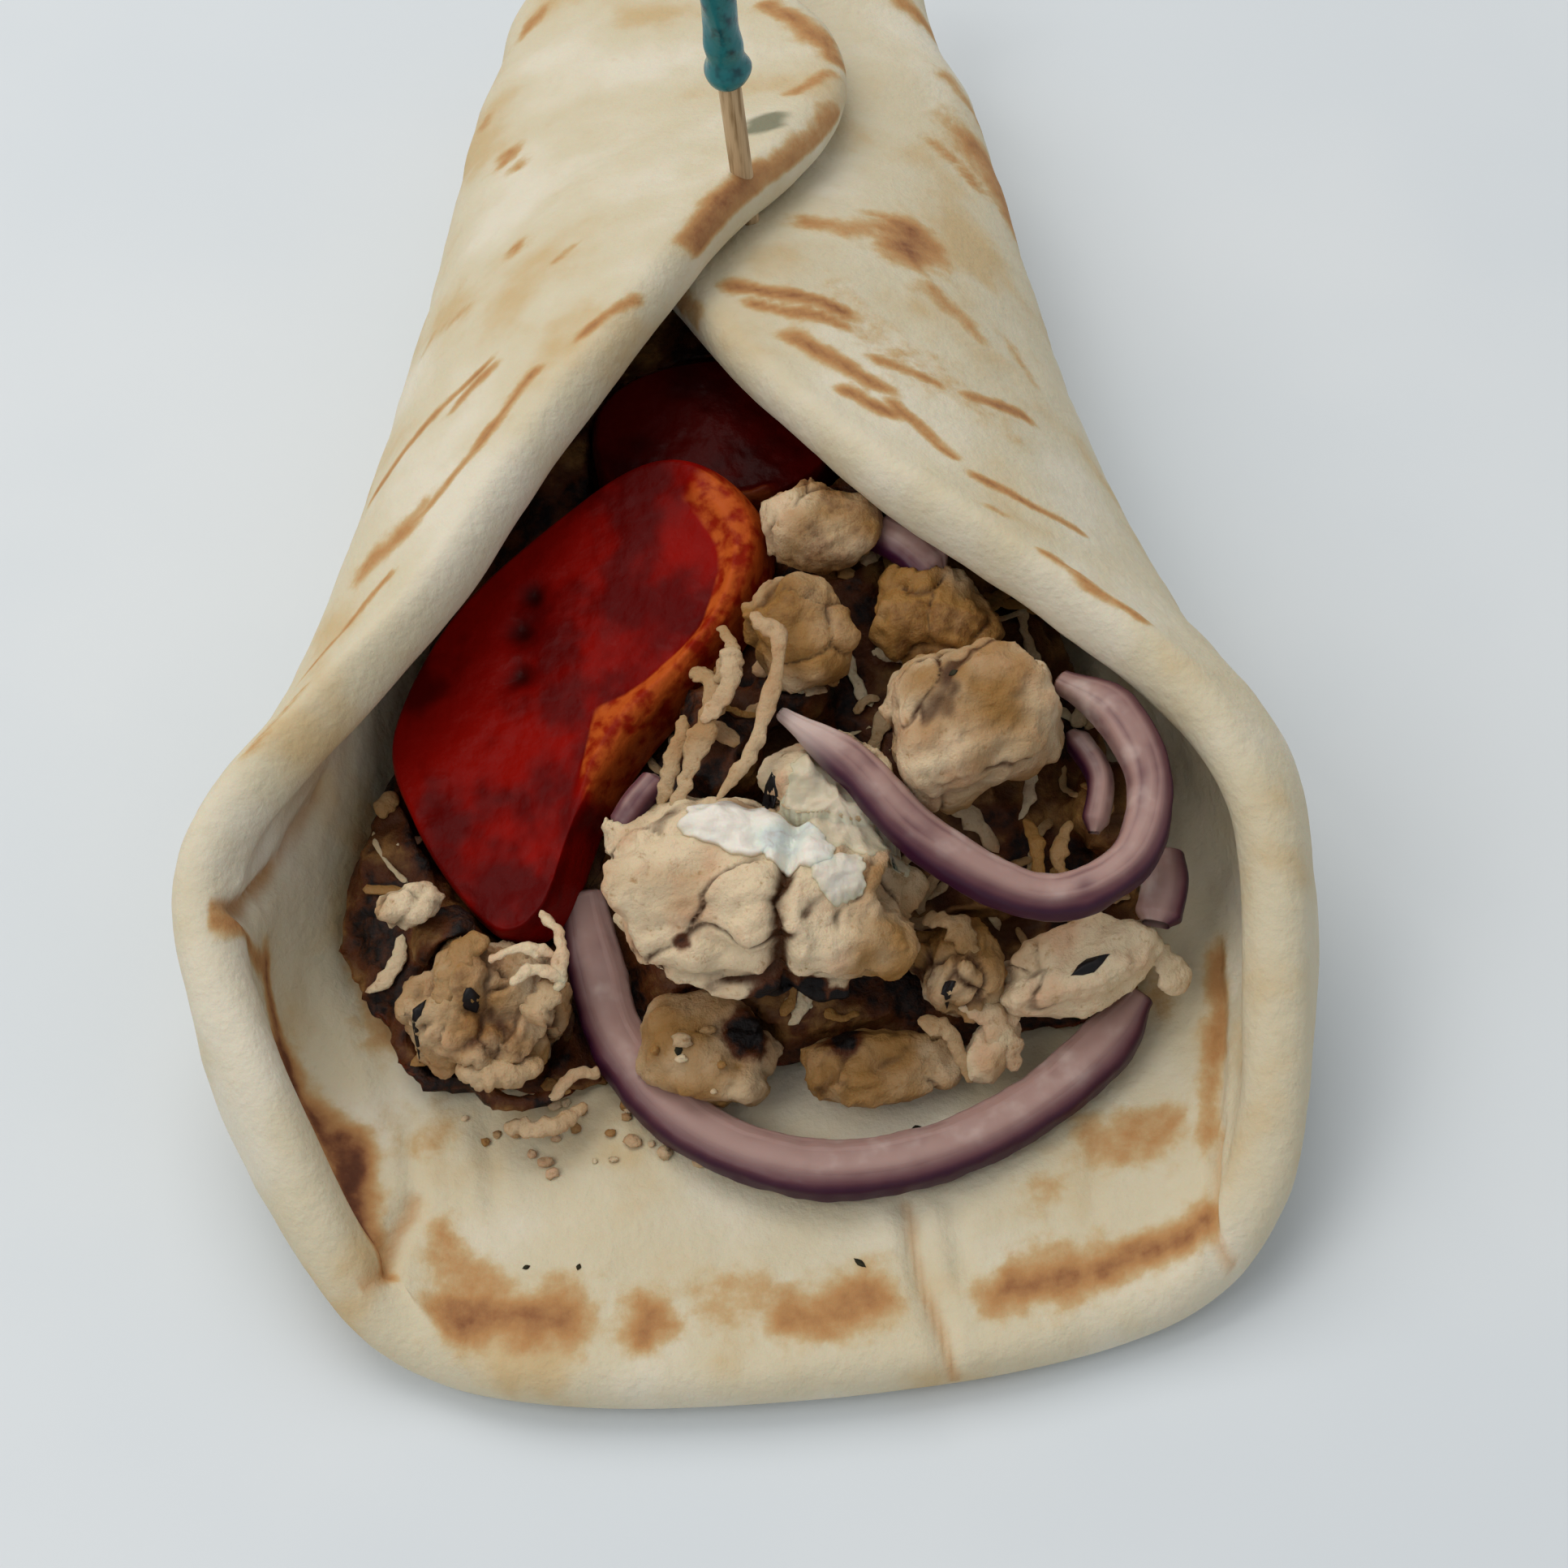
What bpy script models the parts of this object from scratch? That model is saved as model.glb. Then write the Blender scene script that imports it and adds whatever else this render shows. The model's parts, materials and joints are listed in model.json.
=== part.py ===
"""A gyro wrap: one round pita rolled round chicken, tomato and red onion, held by a frilled pick.

Sizes are in millimetres in this file and are turned to metres when a mesh is made. The wrap lies on
z = 0 with its mouth towards -Y and its tucked end towards +Y.
"""

import math

import bmesh
import bpy
import numpy as np
from mathutils import Matrix, Vector, noise

MM = 0.001

# The flat pita, before it is rolled
PITA_RADIUS = 87.3
PITA_THICKNESS = 6.0
PITA_CORNER_BULGE = -0.05
PITA_MIDDLE_SHIFT = -1.6
RIM_RINGS = ((0.0, 0.3), (1.2, 0.78), (3.2, 1.0))
LIP_REACH = 2.6
LIP_SPREAD = 28.0
CORNER_REACH = 2.0
CORNER_AT = 27.0
CORNER_SPREAD = 7.0
LAYER_GAP = 0.5

# The roll, as sections square to Y. Stations run from the lip (0) to the tucked end (1).
STATIONS = (0.0, 0.18, 0.36, 0.55, 0.78, 1.0)
HALF_WIDTH_LEFT = (39.1, 53.6, 43.2, 32.7, 24.5, 18.0)
HALF_WIDTH_RIGHT = (36.4, 43.6, 36.8, 30.7, 26.5, 22.0)
WIDEST_HEIGHT = (24.0, 25.5, 19.2, 15.6, 17.0, 15.0)
ROLL_HEIGHT = (51.1, 48.6, 46.5, 42.0, 29.5, 26.5)
MOUTH_ROUNDNESS = {"left": (8.0, 1.1), "right": (4.6, 1.6)}
BACK_ROUNDNESS = (2.3, 2.0)
MOUTH_LEAN = 0.93
MIDDLE_LEAN = 0.17
TIGHTEST_BEND = 2.5

# The back end, where the bottom of the pita is tucked up
TUCK_START = 66.0
TUCK_RADIUS = 11.0
OVERLAP_ENDS = 0.90
TUCK_PRESSED = 0.55

# The grid of the roll
ROLL_ROWS = 181
ROLL_STEP = 1.0
ROLL_REACH = 130
PITA_COLUMNS = 38
PITA_LINES = 20

# The flat spot that the wrap rests on
BASE_SINK = 0.25

# Clearance between touching pieces
GAP = 0.35

# Chicken pieces: centre, size and turn in degrees, the uppermost first
CHICKEN_PIECES = {
    "chicken_main": ((-4.5, -46.5, 23.5), (31.0, 18.0, 13.5), (8, 6, -12)),
    "chicken_right_upper": ((15.8, -34.0, 31.0), (17.0, 15.0, 12.0), (10, -10, 20)),
    "chicken_centre_upper": ((1.5, -24.0, 32.0), (10.0, 12.0, 9.0), (15, 0, 25)),
    "chicken_top": ((4.5, -12.5, 33.0), (12.0, 10.0, 8.5), (0, 12, -10)),
    "chicken_top_right": ((14.2, -21.5, 29.0), (13.0, 10.0, 8.0), (5, 15, -25)),
    "chicken_sauced": ((2.6, -37.5, 27.0), (13.0, 11.0, 8.0), (12, 5, 15)),
    "chicken_right_low": ((23.2, -52.2, 15.5), (16.0, 8.0, 7.5), (-5, -8, 8)),
    "chicken_right_flaky": ((12.6, -50.8, 15.0), (9.0, 11.0, 9.0), (0, 20, 30)),
    "chicken_low_left": ((-10.8, -54.2, 10.8), (13.0, 10.5, 8.0), (0, 0, -20)),
    "chicken_low_middle": ((4.3, -57.0, 9.6), (15.0, 7.5, 6.0), (0, 0, -4)),
    "chicken_left_cluster": ((-30.6, -48.6, 12.8), (16.0, 13.0, 11.5), (5, 10, -15)),
    "chicken_left_bit": ((-36.6, -41.2, 20.5), (6.5, 4.0, 4.0), (0, 10, 20)),
    "chicken_shard": ((15.2, -56.8, 11.5), (4.2, 9.0, 4.0), (8, 0, -38)),
}
CHUNK_SQUARENESS = 2.7
CHUNK_FILL = 1.12
CHUNK_LUMPS = 0.34
LARGE_CHUNK = 12.5

# Onion bands: the line through the middle, width, depth and how far each end thins
ONION_BANDS = {
    "onion_upper_hook": (
        (
            (-1.2, -32.3, 32.4),
            (5.1, -38.2, 31.0),
            (10.7, -44.9, 28.0),
            (20.1, -50.1, 25.0),
            (28.0, -48.4, 26.0),
            (31.2, -41.5, 27.5),
            (29.2, -34.5, 29.0),
            (24.4, -29.8, 29.0),
        ),
        3.8,
        3.2,
        (0.3, 0.6),
    ),
    "onion_lower_ring": (
        (
            (-21.5, -36.6, 12.5),
            (-20.7, -43.6, 9.8),
            (-18.9, -51.4, 8.4),
            (-13.2, -60.1, 8.2),
            (-5.0, -65.2, 8.2),
            (4.0, -66.4, 8.2),
            (13.0, -64.5, 8.2),
            (20.5, -60.6, 8.4),
            (26.3, -56.1, 9.4),
            (29.5, -53.0, 11.0),
        ),
        4.3,
        3.4,
        (0.8, 0.5),
    ),
    "onion_top_piece": (((9.6, -12.6, 32.0), (12.4, -15.0, 32.0), (15.2, -18.2, 31.0)), 4.2, 2.2, (0.5, 0.5)),
    "onion_inner_strip": (((25.2, -33.0, 25.0), (27.2, -38.0, 24.6), (26.0, -43.0, 23.0)), 2.6, 2.2, (0.5, 0.4)),
    "onion_right_slice": (((30.6, -50.5, 18.5), (32.0, -46.5, 18.8), (32.2, -42.5, 18.0)), 4.4, 2.4, (0.6, 0.5)),
    "onion_left_bit": (((-16.5, -38.5, 25.0), (-14.6, -36.5, 26.4), (-12.6, -34.2, 26.4)), 2.6, 2.2, (0.5, 0.5)),
}
BAND_SQUARENESS = 3.4
BAND_TIP = 0.12

# Tomato slices: outline along and aside, thickness, middle of the top face, its long way and its facing
TOMATO_SLICES = {
    "tomato_front": (
        (
            (-17.8, -1.6),
            (-14.0, -4.4),
            (-5.0, -3.7),
            (4.0, -5.0),
            (13.0, -7.7),
            (20.5, -8.7),
            (27.2, -6.4),
            (30.5, 0.5),
            (28.5, 7.0),
            (19.0, 13.5),
            (7.0, 18.5),
            (-5.5, 18.2),
            (-12.0, 12.0),
            (-16.5, 4.0),
        ),
        7.0,
        (-20.8, -28.5, 23.1),
        (0.526, 0.760, 0.382),
        (-0.289, -0.263, 0.921),
    ),
    "tomato_back": (
        ((-11, -5), (-5, -9), (4, -9), (11, -5), (12, 3), (6, 8), (-4, 9), (-11, 5)),
        6.0,
        (-4.5, 3.0, 29.3),
        (1.0, 0.1, 0.0),
        (0.0, -0.12, 0.99),
    ),
}
SLICE_SIDES = 28

# The filling's core: how high it lies at places along Y, and its shape
HEAP_TOP = ((-58.0, 9.5), (-50.0, 11.0), (-44.0, 12.5), (-38.0, 15.0), (-30.0, 18.0), (-15.0, 23.0), (10.0, 31.0))
# Mounds of the heap that carry the pieces lying highest: place across and along, height and radius
HEAP_MOUNDS = ((15.5, -32.5, 11.0, 7.5), (5.0, -16.0, 9.5, 8.0), (-4.0, -45.0, 5.0, 9.0))
# Lumps fused on the heap, which carry the shreds lying highest: centre and size
HEAP_LUMPS = (
    ((-6.8, -30.0, 23.0), (10.0, 15.0, 11.5)),
    ((28.0, -38.0, 18.5), (8.0, 11.0, 9.0)),
    ((1.0, -25.0, 25.5), (9.0, 10.0, 9.0)),
    ((-33.5, -42.5, 15.5), (8.0, 7.5, 9.5)),
)
CORE_FRONT = -58.0
CORE_BACK = 63.0
CORE_LINES = 18
HEAP_ROUNDS = 24
CORE_COLUMNS = 24
CORE_CLEARANCE = 1.8
# How far the heap's left side is drawn in at its front, and over how many rows
CORE_DRAWN_IN = 7.5
CORE_DRAWN_ROWS = 18.0
CORE_LIFT = 0.6
CORE_SHOULDER = 0.55
CORE_ROUNDNESS = 2.4
CORE_RELIEF = 2.6
CORE_RELIEF_SCALE = 0.21
CORE_FULL_HEIGHT = 10.0

# Shreds fused on the core: start, middle, end, width and depth
SHREDS = (
    ((-5.0, -22.5, 28.5), (-6.5, -28.0, 30.0), (-9.5, -35.5, 27.0), 2.4, 2.4),
    ((-2.8, -28.5, 27.0), (-5.6, -33.6, 28.5), (-8.6, -38.4, 24.5), 2.4, 2.4),
    ((-9.8, -27.0, 28.0), (-10.8, -32.0, 28.5), (-11.5, -37.5, 24.5), 2.2, 2.2),
    ((9.5, -45.5, 13.0), (14.0, -44.0, 15.0), (19.0, -44.5, 12.5), 2.6, 2.2),
    ((17.5, -41.0, 14.0), (21.5, -39.5, 16.5), (26.5, -39.5, 13.5), 2.6, 2.2),
    ((-34.0, -53.0, 10.0), (-29.0, -57.5, 11.0), (-22.5, -56.0, 9.5), 2.4, 2.2),
    ((-24.0, -47.0, 11.0), (-21.5, -51.0, 13.0), (-20.5, -55.5, 10.0), 2.2, 2.2),
)

# The pick
PICK_FOOT = (1.3, 25.0, 31.0)
PICK_LEAN = (-0.03, 0.02)
STICK_RADIUS = 1.1
STICK_LENGTH = 50.0
SLEEVE_START = 24.0
SLEEVE_LENGTH = 19.0
SLEEVE_RADIUS = 1.65
FRILL_START = 43.5
FRILL_LENGTH = 11.0
FRILL_RADIUS = 7.0
FRILL_PLEATS = 9

PITA_COLOUR = (0.62, 0.56, 0.42)
CHICKEN_COLOUR = (0.62, 0.50, 0.32)
SHRED_COLOUR = (0.50, 0.36, 0.19)
TOMATO_COLOUR = (0.55, 0.01, 0.0)
ONION_COLOUR = (0.36, 0.22, 0.28)
WOOD_COLOUR = (0.48, 0.33, 0.18)
FRILL_COLOUR = (0.01, 0.19, 0.22)


def smooth_step(value):
    """0 below 0, 1 above 1, with a soft start and end between them."""
    value = np.clip(value, 0.0, 1.0)
    return value * value * (3.0 - 2.0 * value)


def along_roll(fraction, values):
    """A smooth curve through the values given at STATIONS."""
    at = np.asarray(STATIONS)
    values = np.asarray(values, float)
    slope = np.gradient(values, at)
    left = np.clip(np.searchsorted(at, fraction) - 1, 0, len(at) - 2)
    width = at[left + 1] - at[left]
    u = (fraction - at[left]) / width
    start = values[left] * (2 * u**3 - 3 * u**2 + 1) + slope[left] * width * (u**3 - 2 * u**2 + u)
    end = values[left + 1] * (3 * u**2 - 2 * u**3) + slope[left + 1] * width * (u**3 - u**2)
    return start + end


def lean_along_roll(fraction):
    """How far a point moves back for each millimetre of height: much at the mouth, none at the end."""
    early = MOUTH_LEAN + (MIDDLE_LEAN - MOUTH_LEAN) * smooth_step(fraction / 0.5)
    return np.where(fraction < 0.5, early, MIDDLE_LEAN * (1.0 - smooth_step((fraction - 0.5) / 0.5)))


def tuck_path(row):
    """(back, up) of the bottom middle line: flat, then bent up round TUCK_RADIUS."""
    angle = np.clip(row - TUCK_START, 0.0, None) / TUCK_RADIUS
    back = np.where(row > TUCK_START, TUCK_START + TUCK_RADIUS * np.sin(angle), row)
    up = PITA_THICKNESS / 2 + TUCK_RADIUS * (1.0 - np.cos(angle))
    return back, up


def section(side, rows, angle):
    """(x, z, fraction of height) of one side of the roll, from its bottom middle round past its top middle.

    Each side is two quarter superellipses. The left side is the outer flap, so its top rises by half a
    layer, and the right side sinks by as much.
    """
    fraction = ((rows + PITA_RADIUS) / (2 * PITA_RADIUS))[:, None]
    half_layer = (PITA_THICKNESS + LAYER_GAP) / 2
    sign = 1.0 if side == "left" else -1.0
    own, other = HALF_WIDTH_LEFT, HALF_WIDTH_RIGHT
    if side == "right":
        own, other = other, own
    sine, cosine = np.sin(angle)[None, :], np.cos(angle)[None, :]
    ramp = smooth_step((angle / math.pi - 0.40) / 0.28)[None, :]
    layer = sign * half_layer * ramp * (1 - smooth_step((fraction - OVERLAP_ENDS) / 0.07))
    low, high = roll_roundness(side, fraction)
    roundness = np.where(cosine >= 0, low, high)
    half_width = np.where(sine >= 0, along_roll(fraction, own), along_roll(fraction, other)) + layer
    widest = along_roll(fraction, WIDEST_HEIGHT)
    top = along_roll(fraction, ROLL_HEIGHT) - PITA_THICKNESS / 2
    bottom = PITA_THICKNESS / 2
    across = half_width * np.sign(sine) * np.abs(sine) ** (2 / roundness)
    rise = np.abs(cosine) ** (2 / roundness)
    below = widest - (widest - bottom) * rise
    above = widest + (top - widest + layer) * rise
    height = np.where(cosine >= 0, below, above)
    share = (height - bottom) / (top - bottom)
    _, lifted = tuck_path(rows[:, None])
    height = lifted + share * (top - lifted)
    return (-across if side == "left" else across), height, share


def even_steps(across, height, share):
    """The section's points at even steps along it, softened so that no bend is tighter than the dough takes."""
    count = across.shape[0]
    lengths = np.hypot(np.diff(across, axis=1), np.diff(height, axis=1))
    travelled = np.concatenate([np.zeros((count, 1)), np.cumsum(lengths, axis=1)], axis=1)
    apart = 1000.0 * np.arange(count)[:, None]
    wanted = ROLL_STEP * np.arange(ROLL_REACH)[None, :] + apart
    spread = int(3 * TIGHTEST_BEND / ROLL_STEP)
    weights = np.exp(-0.5 * (np.arange(-spread, spread + 1) * ROLL_STEP / TIGHTEST_BEND) ** 2)
    weights /= weights.sum()
    softened = []
    for values, mirrored in ((across, "odd"), (height, "even"), (share, "even")):
        even = np.interp(wanted.ravel(), (travelled + apart).ravel(), values.ravel())
        even = even.reshape(count, ROLL_REACH)
        padded = np.pad(even, ((0, 0), (spread, 0)), mode="reflect", reflect_type=mirrored)
        padded = np.pad(padded, ((0, 0), (0, spread)), mode="reflect", reflect_type="odd")
        windows = np.lib.stride_tricks.sliding_window_view(padded, len(weights), axis=1)
        softened.append(windows @ weights)
    return softened


def roll_surface(side):
    """Points of the middle of the dough on one side of the roll, by row and by step away from the middle."""
    rows = np.linspace(-PITA_RADIUS, PITA_RADIUS, ROLL_ROWS)
    angle = np.linspace(0.0, 1.7 * math.pi, 220)
    across, height, share = even_steps(*section(side, rows, angle))
    return np.stack([across, lengthwise(rows[:, None], height, share), height], axis=2)


def lengthwise(rows, height, share):
    """Y of a point: its row, leant back with height, and drawn in where the end is tucked up."""
    fraction = (rows + PITA_RADIUS) / (2 * PITA_RADIUS)
    tucked, _ = tuck_path(rows)
    upright = tucked + np.clip(share, 0.0, 1.0) * (rows - tucked)
    return upright + lean_along_roll(fraction) * (height - PITA_THICKNESS / 2)


def rolled(across, along):
    """Where points of the flat pita go when it is rolled. Across and along are flat distances."""
    row = np.clip((along + PITA_RADIUS) / (2 * PITA_RADIUS), 0, 1) * (ROLL_ROWS - 1)
    step = np.clip(np.abs(across) / ROLL_STEP, 0, ROLL_REACH - 1.001)
    row_low = np.minimum(row.astype(int), ROLL_ROWS - 2)
    step_low = step.astype(int)
    u, v = (row - row_low)[:, None], (step - step_low)[:, None]
    sides = []
    for side in ("left", "right"):
        surface = roll_surface(side)
        near = surface[row_low, step_low] * (1 - v) + surface[row_low, step_low + 1] * v
        far = surface[row_low + 1, step_low] * (1 - v) + surface[row_low + 1, step_low + 1] * v
        sides.append(near * (1 - u) + far * u)
    return np.where((across < 0)[:, None], sides[0], sides[1])


def grid_stops(count):
    """Grid lines from -1 to 1: even ones in the middle, and the rings of the rounded rim at both ends."""
    rim = [1.0 - inward / PITA_RADIUS for inward, _ in RIM_RINGS]
    middle = np.linspace(-rim[-1], rim[-1], count - 2 * (len(rim) - 1) + 1)
    return np.concatenate([[-stop for stop in rim[:-1]], middle, rim[-2::-1]])


def rim_radius(reach, turn):
    """Distance from the middle: a disc with slight corners, drawn out at the lip and at the lip's right corner."""
    degrees = np.degrees(turn)
    lip = LIP_REACH * np.exp(-((degrees / LIP_SPREAD) ** 2))
    corner = CORNER_REACH * np.exp(-(((degrees - CORNER_AT) / CORNER_SPREAD) ** 2))
    bulge = PITA_CORNER_BULGE * PITA_RADIUS * np.cos(4 * turn)
    return PITA_RADIUS * reach + reach**3 * (bulge + lip + corner)


def flat_disc(columns, lines):
    """(across, along, reach) of a square grid whose squares are turned into rings round the pita's middle."""
    u, v = np.meshgrid(grid_stops(columns), grid_stops(lines))
    reach = np.maximum(np.abs(u), np.abs(v))
    wide = np.abs(u) > np.abs(v)
    safe = np.where(reach > 0, reach, 1.0)
    swing = math.pi / 4 * np.where(wide, v, u) / safe
    x = np.where(wide, np.sign(u) * np.cos(swing), np.sin(swing))
    y = np.where(wide, np.sin(swing), np.sign(v) * np.cos(swing))
    turn = np.arctan2(x, -y)
    radius = rim_radius(reach, turn)
    across = PITA_MIDDLE_SHIFT * reach**2 + radius * np.sin(turn)
    return across.ravel(), (-radius * np.cos(turn)).ravel(), reach.ravel()


def new_material(name, colour, roughness):
    material = bpy.data.materials.new(name)
    material.use_nodes = True
    shader = material.node_tree.nodes["Principled BSDF"]
    shader.inputs["Base Color"].default_value = (*colour, 1.0)
    shader.inputs["Roughness"].default_value = roughness
    return material


def add_object(name, mesh, material, collection):
    mesh.materials.clear()
    if material:
        mesh.materials.append(material)
    mesh.shade_smooth()
    mesh.set_sharp_from_angle(angle=math.radians(40))
    made = bpy.data.objects.new(name, mesh)
    collection.objects.link(made)
    return made


def grid_faces(lines, columns, closed=False):
    """Quads between the points of a grid that is numbered line by line."""
    line, column = np.meshgrid(np.arange(lines - 1), np.arange(columns if closed else columns - 1), indexing="ij")
    here = line * columns + column
    aside = line * columns + (column + 1) % columns
    return np.stack([here, aside, aside + columns, here + columns], axis=2).reshape(-1, 4).tolist()


def split_by_roll(quads, points, centres):
    """Triangles from quads, each split along the diagonal that passes nearer to the rolled surface."""
    corners = points[quads]
    off_first = np.linalg.norm((corners[:, 0] + corners[:, 2]) / 2 - centres, axis=1)
    off_second = np.linalg.norm((corners[:, 1] + corners[:, 3]) / 2 - centres, axis=1)
    plain, turned = quads[off_first <= off_second], quads[off_first > off_second]
    halves = [plain[:, [0, 1, 2]], plain[:, [0, 2, 3]], turned[:, [0, 1, 3]], turned[:, [1, 2, 3]]]
    return np.concatenate(halves).tolist()


def loft_mesh(name, rings):
    """A closed mesh through rings of points, each a (count, 3) array, with a cap on both ends."""
    rings = np.asarray(rings, float)
    lines, columns, _ = rings.shape
    faces = grid_faces(lines, columns, closed=True)
    faces.append(list(range(columns))[::-1])
    faces.append(list(range((lines - 1) * columns, lines * columns)))
    mesh = bpy.data.meshes.new(name)
    mesh.from_pydata((rings.reshape(-1, 3) * MM).tolist(), [], faces)
    face_outward(mesh)
    return mesh


def face_outward(mesh):
    built = bmesh.new()
    built.from_mesh(mesh)
    bmesh.ops.recalc_face_normals(built, faces=built.faces)
    bmesh.ops.triangulate(built, faces=[face for face in built.faces if len(face.verts) > 4])
    built.to_mesh(mesh)
    built.free()


def add_cutter(source, cutters, swell=GAP):
    """A hidden copy of a piece, swollen by the clearance, for cutting its place out of a neighbour."""
    mesh = source.data.copy()
    normals = [vertex.normal.copy() for vertex in mesh.vertices]
    for vertex, normal in zip(mesh.vertices, normals):
        vertex.co += normal * swell * MM
    cutter = bpy.data.objects.new(source.name + "_cutter", mesh)
    cutter.matrix_world = source.matrix_world
    cutter.hide_render = True
    cutter.display_type = "WIRE"
    cutters.objects.link(cutter)
    return cutter


def cut(target, cutter, name):
    modifier = target.modifiers.new(name, "BOOLEAN")
    modifier.operation = "DIFFERENCE"
    modifier.object = cutter
    return modifier


def build_pita(materials, parts, cutters):
    """The rolled sheet: a grid on the rolled surface, given its thickness, a rounded rim and a flat base."""
    across, along, reach = flat_disc(PITA_COLUMNS, PITA_LINES)
    points = rolled(across, along)
    quads = np.array(grid_faces(PITA_LINES + 1, PITA_COLUMNS + 1))
    centres = rolled(across[quads].mean(axis=1), along[quads].mean(axis=1))
    faces = split_by_roll(quads, points, centres)
    points[:, 2] -= BASE_SINK
    mesh = bpy.data.meshes.new("pita")
    mesh.from_pydata((points * MM).tolist(), [], faces)
    pita = add_object("pita", mesh, materials["pita"], parts)
    fullness = pita.vertex_groups.new(name="fullness")
    inward, share = zip(*RIM_RINGS)
    full = np.interp((1.0 - reach) * PITA_RADIUS, inward, share)
    full *= 1.0 - (1.0 - TUCK_PRESSED) * smooth_step((along - TUCK_START + TUCK_RADIUS) / TUCK_RADIUS)
    for index, weight in enumerate(full):
        fullness.add([index], float(weight), "REPLACE")
    dough = pita.modifiers.new("Dough", "SOLIDIFY")
    dough.thickness = PITA_THICKNESS * MM
    dough.offset = 0.0
    dough.vertex_group = fullness.name
    table = add_box_cutter("table_cutter", (400.0, 400.0, 20.0), (0.0, 0.0, -10.0), cutters)
    cut(pita, table, "Base")
    return pita


def add_box_cutter(name, size, centre, cutters):
    bpy.ops.mesh.primitive_cube_add(size=1.0)
    box = bpy.context.object
    box.name = name
    box.dimensions = [side * MM for side in size]
    box.location = [place * MM for place in centre]
    return hide_as_cutter(box, cutters)


def hide_as_cutter(made, cutters):
    for owner in list(made.users_collection):
        owner.objects.unlink(made)
    cutters.objects.link(made)
    made.hide_render = True
    made.display_type = "WIRE"
    return made


def settle(made, cutters_met):
    """Cuts a piece by its neighbours' swollen copies and keeps its largest body, as a plain mesh."""
    for number, cutter in enumerate(cutters_met):
        cut(made, cutter, f"Place{number}")
    graph = bpy.context.evaluated_depsgraph_get()
    mesh = bpy.data.meshes.new_from_object(made.evaluated_get(graph))
    made.modifiers.clear()
    built = bmesh.new()
    built.from_mesh(mesh)
    bmesh.ops.remove_doubles(built, verts=built.verts, dist=0.02 * MM)
    bmesh.ops.dissolve_degenerate(built, edges=built.edges, dist=0.02 * MM)
    bodies = bodies_of(built)
    keep = max(bodies, key=len)
    strays = [face for body in bodies if body is not keep for face in body]
    bmesh.ops.delete(built, geom=strays, context="FACES")
    bmesh.ops.triangulate(built, faces=built.faces)
    built.to_mesh(mesh)
    built.free()
    made.data = mesh
    return made


def bodies_of(built):
    """The mesh's separate bodies, each as a list of faces that meet along edges."""
    seen, bodies = set(), []
    for start in built.faces:
        if start in seen:
            continue
        body, waiting = [], [start]
        seen.add(start)
        while waiting:
            face = waiting.pop()
            body.append(face)
            plain_edges = [edge for edge in face.edges if len(edge.link_faces) == 2]
            for other in {near for edge in plain_edges for near in edge.link_faces} - seen:
                seen.add(other)
                waiting.append(other)
        bodies.append(body)
    return bodies


def boxes_meet(one, other):
    """Whether the world boxes of two objects overlap."""
    spans = []
    for made in (one, other):
        corners = np.array([made.matrix_world @ Vector(corner) for corner in made.bound_box])
        spans.append((corners.min(axis=0), corners.max(axis=0)))
    (low_a, high_a), (low_b, high_b) = spans
    return bool((low_a < high_b).all() and (low_b < high_a).all())


def chunk_mesh(name, size, seed, lumps, subdivisions):
    """A torn piece of chicken: a ball pressed towards a block, with broad lumps and small crags."""
    built = bmesh.new()
    bmesh.ops.create_icosphere(built, subdivisions=subdivisions, radius=1.0)
    shift = Vector((seed * 7.3, seed * 3.1, seed * 5.7))
    for vertex in built.verts:
        way = vertex.co.normalized()
        block = sum(abs(part) ** CHUNK_SQUARENESS for part in way) ** (-1 / CHUNK_SQUARENESS)
        lump = lumps * noise.noise(way * 1.5 + shift)
        crag = 0.35 * lumps * noise.noise(way * 4.2 + shift)
        reach = block * (1.0 + lump + crag) / CHUNK_FILL
        vertex.co = Vector([way[i] * reach * size[i] / 2 * MM for i in range(3)])
    mesh = bpy.data.meshes.new(name)
    built.to_mesh(mesh)
    built.free()
    return mesh


def build_chunks(materials, parts):
    made = []
    for number, (name, (centre, size, turn)) in enumerate(CHICKEN_PIECES.items()):
        large = max(size) > LARGE_CHUNK
        mesh = chunk_mesh(name, size, number + 1, CHUNK_LUMPS, 3 if large else 2)
        chunk = add_object(name, mesh, materials["chicken"], parts)
        chunk.location = Vector(centre) * MM
        chunk.rotation_euler = [math.radians(angle) for angle in turn]
        made.append(chunk)
    return made


def smooth_path(points, count, closed=False):
    """Even samples of a Catmull-Rom curve through the points."""
    points = np.asarray(points, float)
    if closed:
        points = np.concatenate([points[-1:], points, points[:2]])
    else:
        points = np.concatenate([2 * points[:1] - points[1:2], points, 2 * points[-1:] - points[-2:-1]])
    spans = len(points) - 3
    at = np.linspace(0, spans, count, endpoint=not closed)
    span = np.minimum(at.astype(int), spans - 1)
    u = (at - span)[:, None]
    p0, p1, p2, p3 = (points[span + i] for i in range(4))
    return 0.5 * (2 * p1 + (p2 - p0) * u + (2 * p0 - 5 * p1 + 4 * p2 - p3) * u**2 + (3 * p1 - p0 - 3 * p2 + p3) * u**3)


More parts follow.
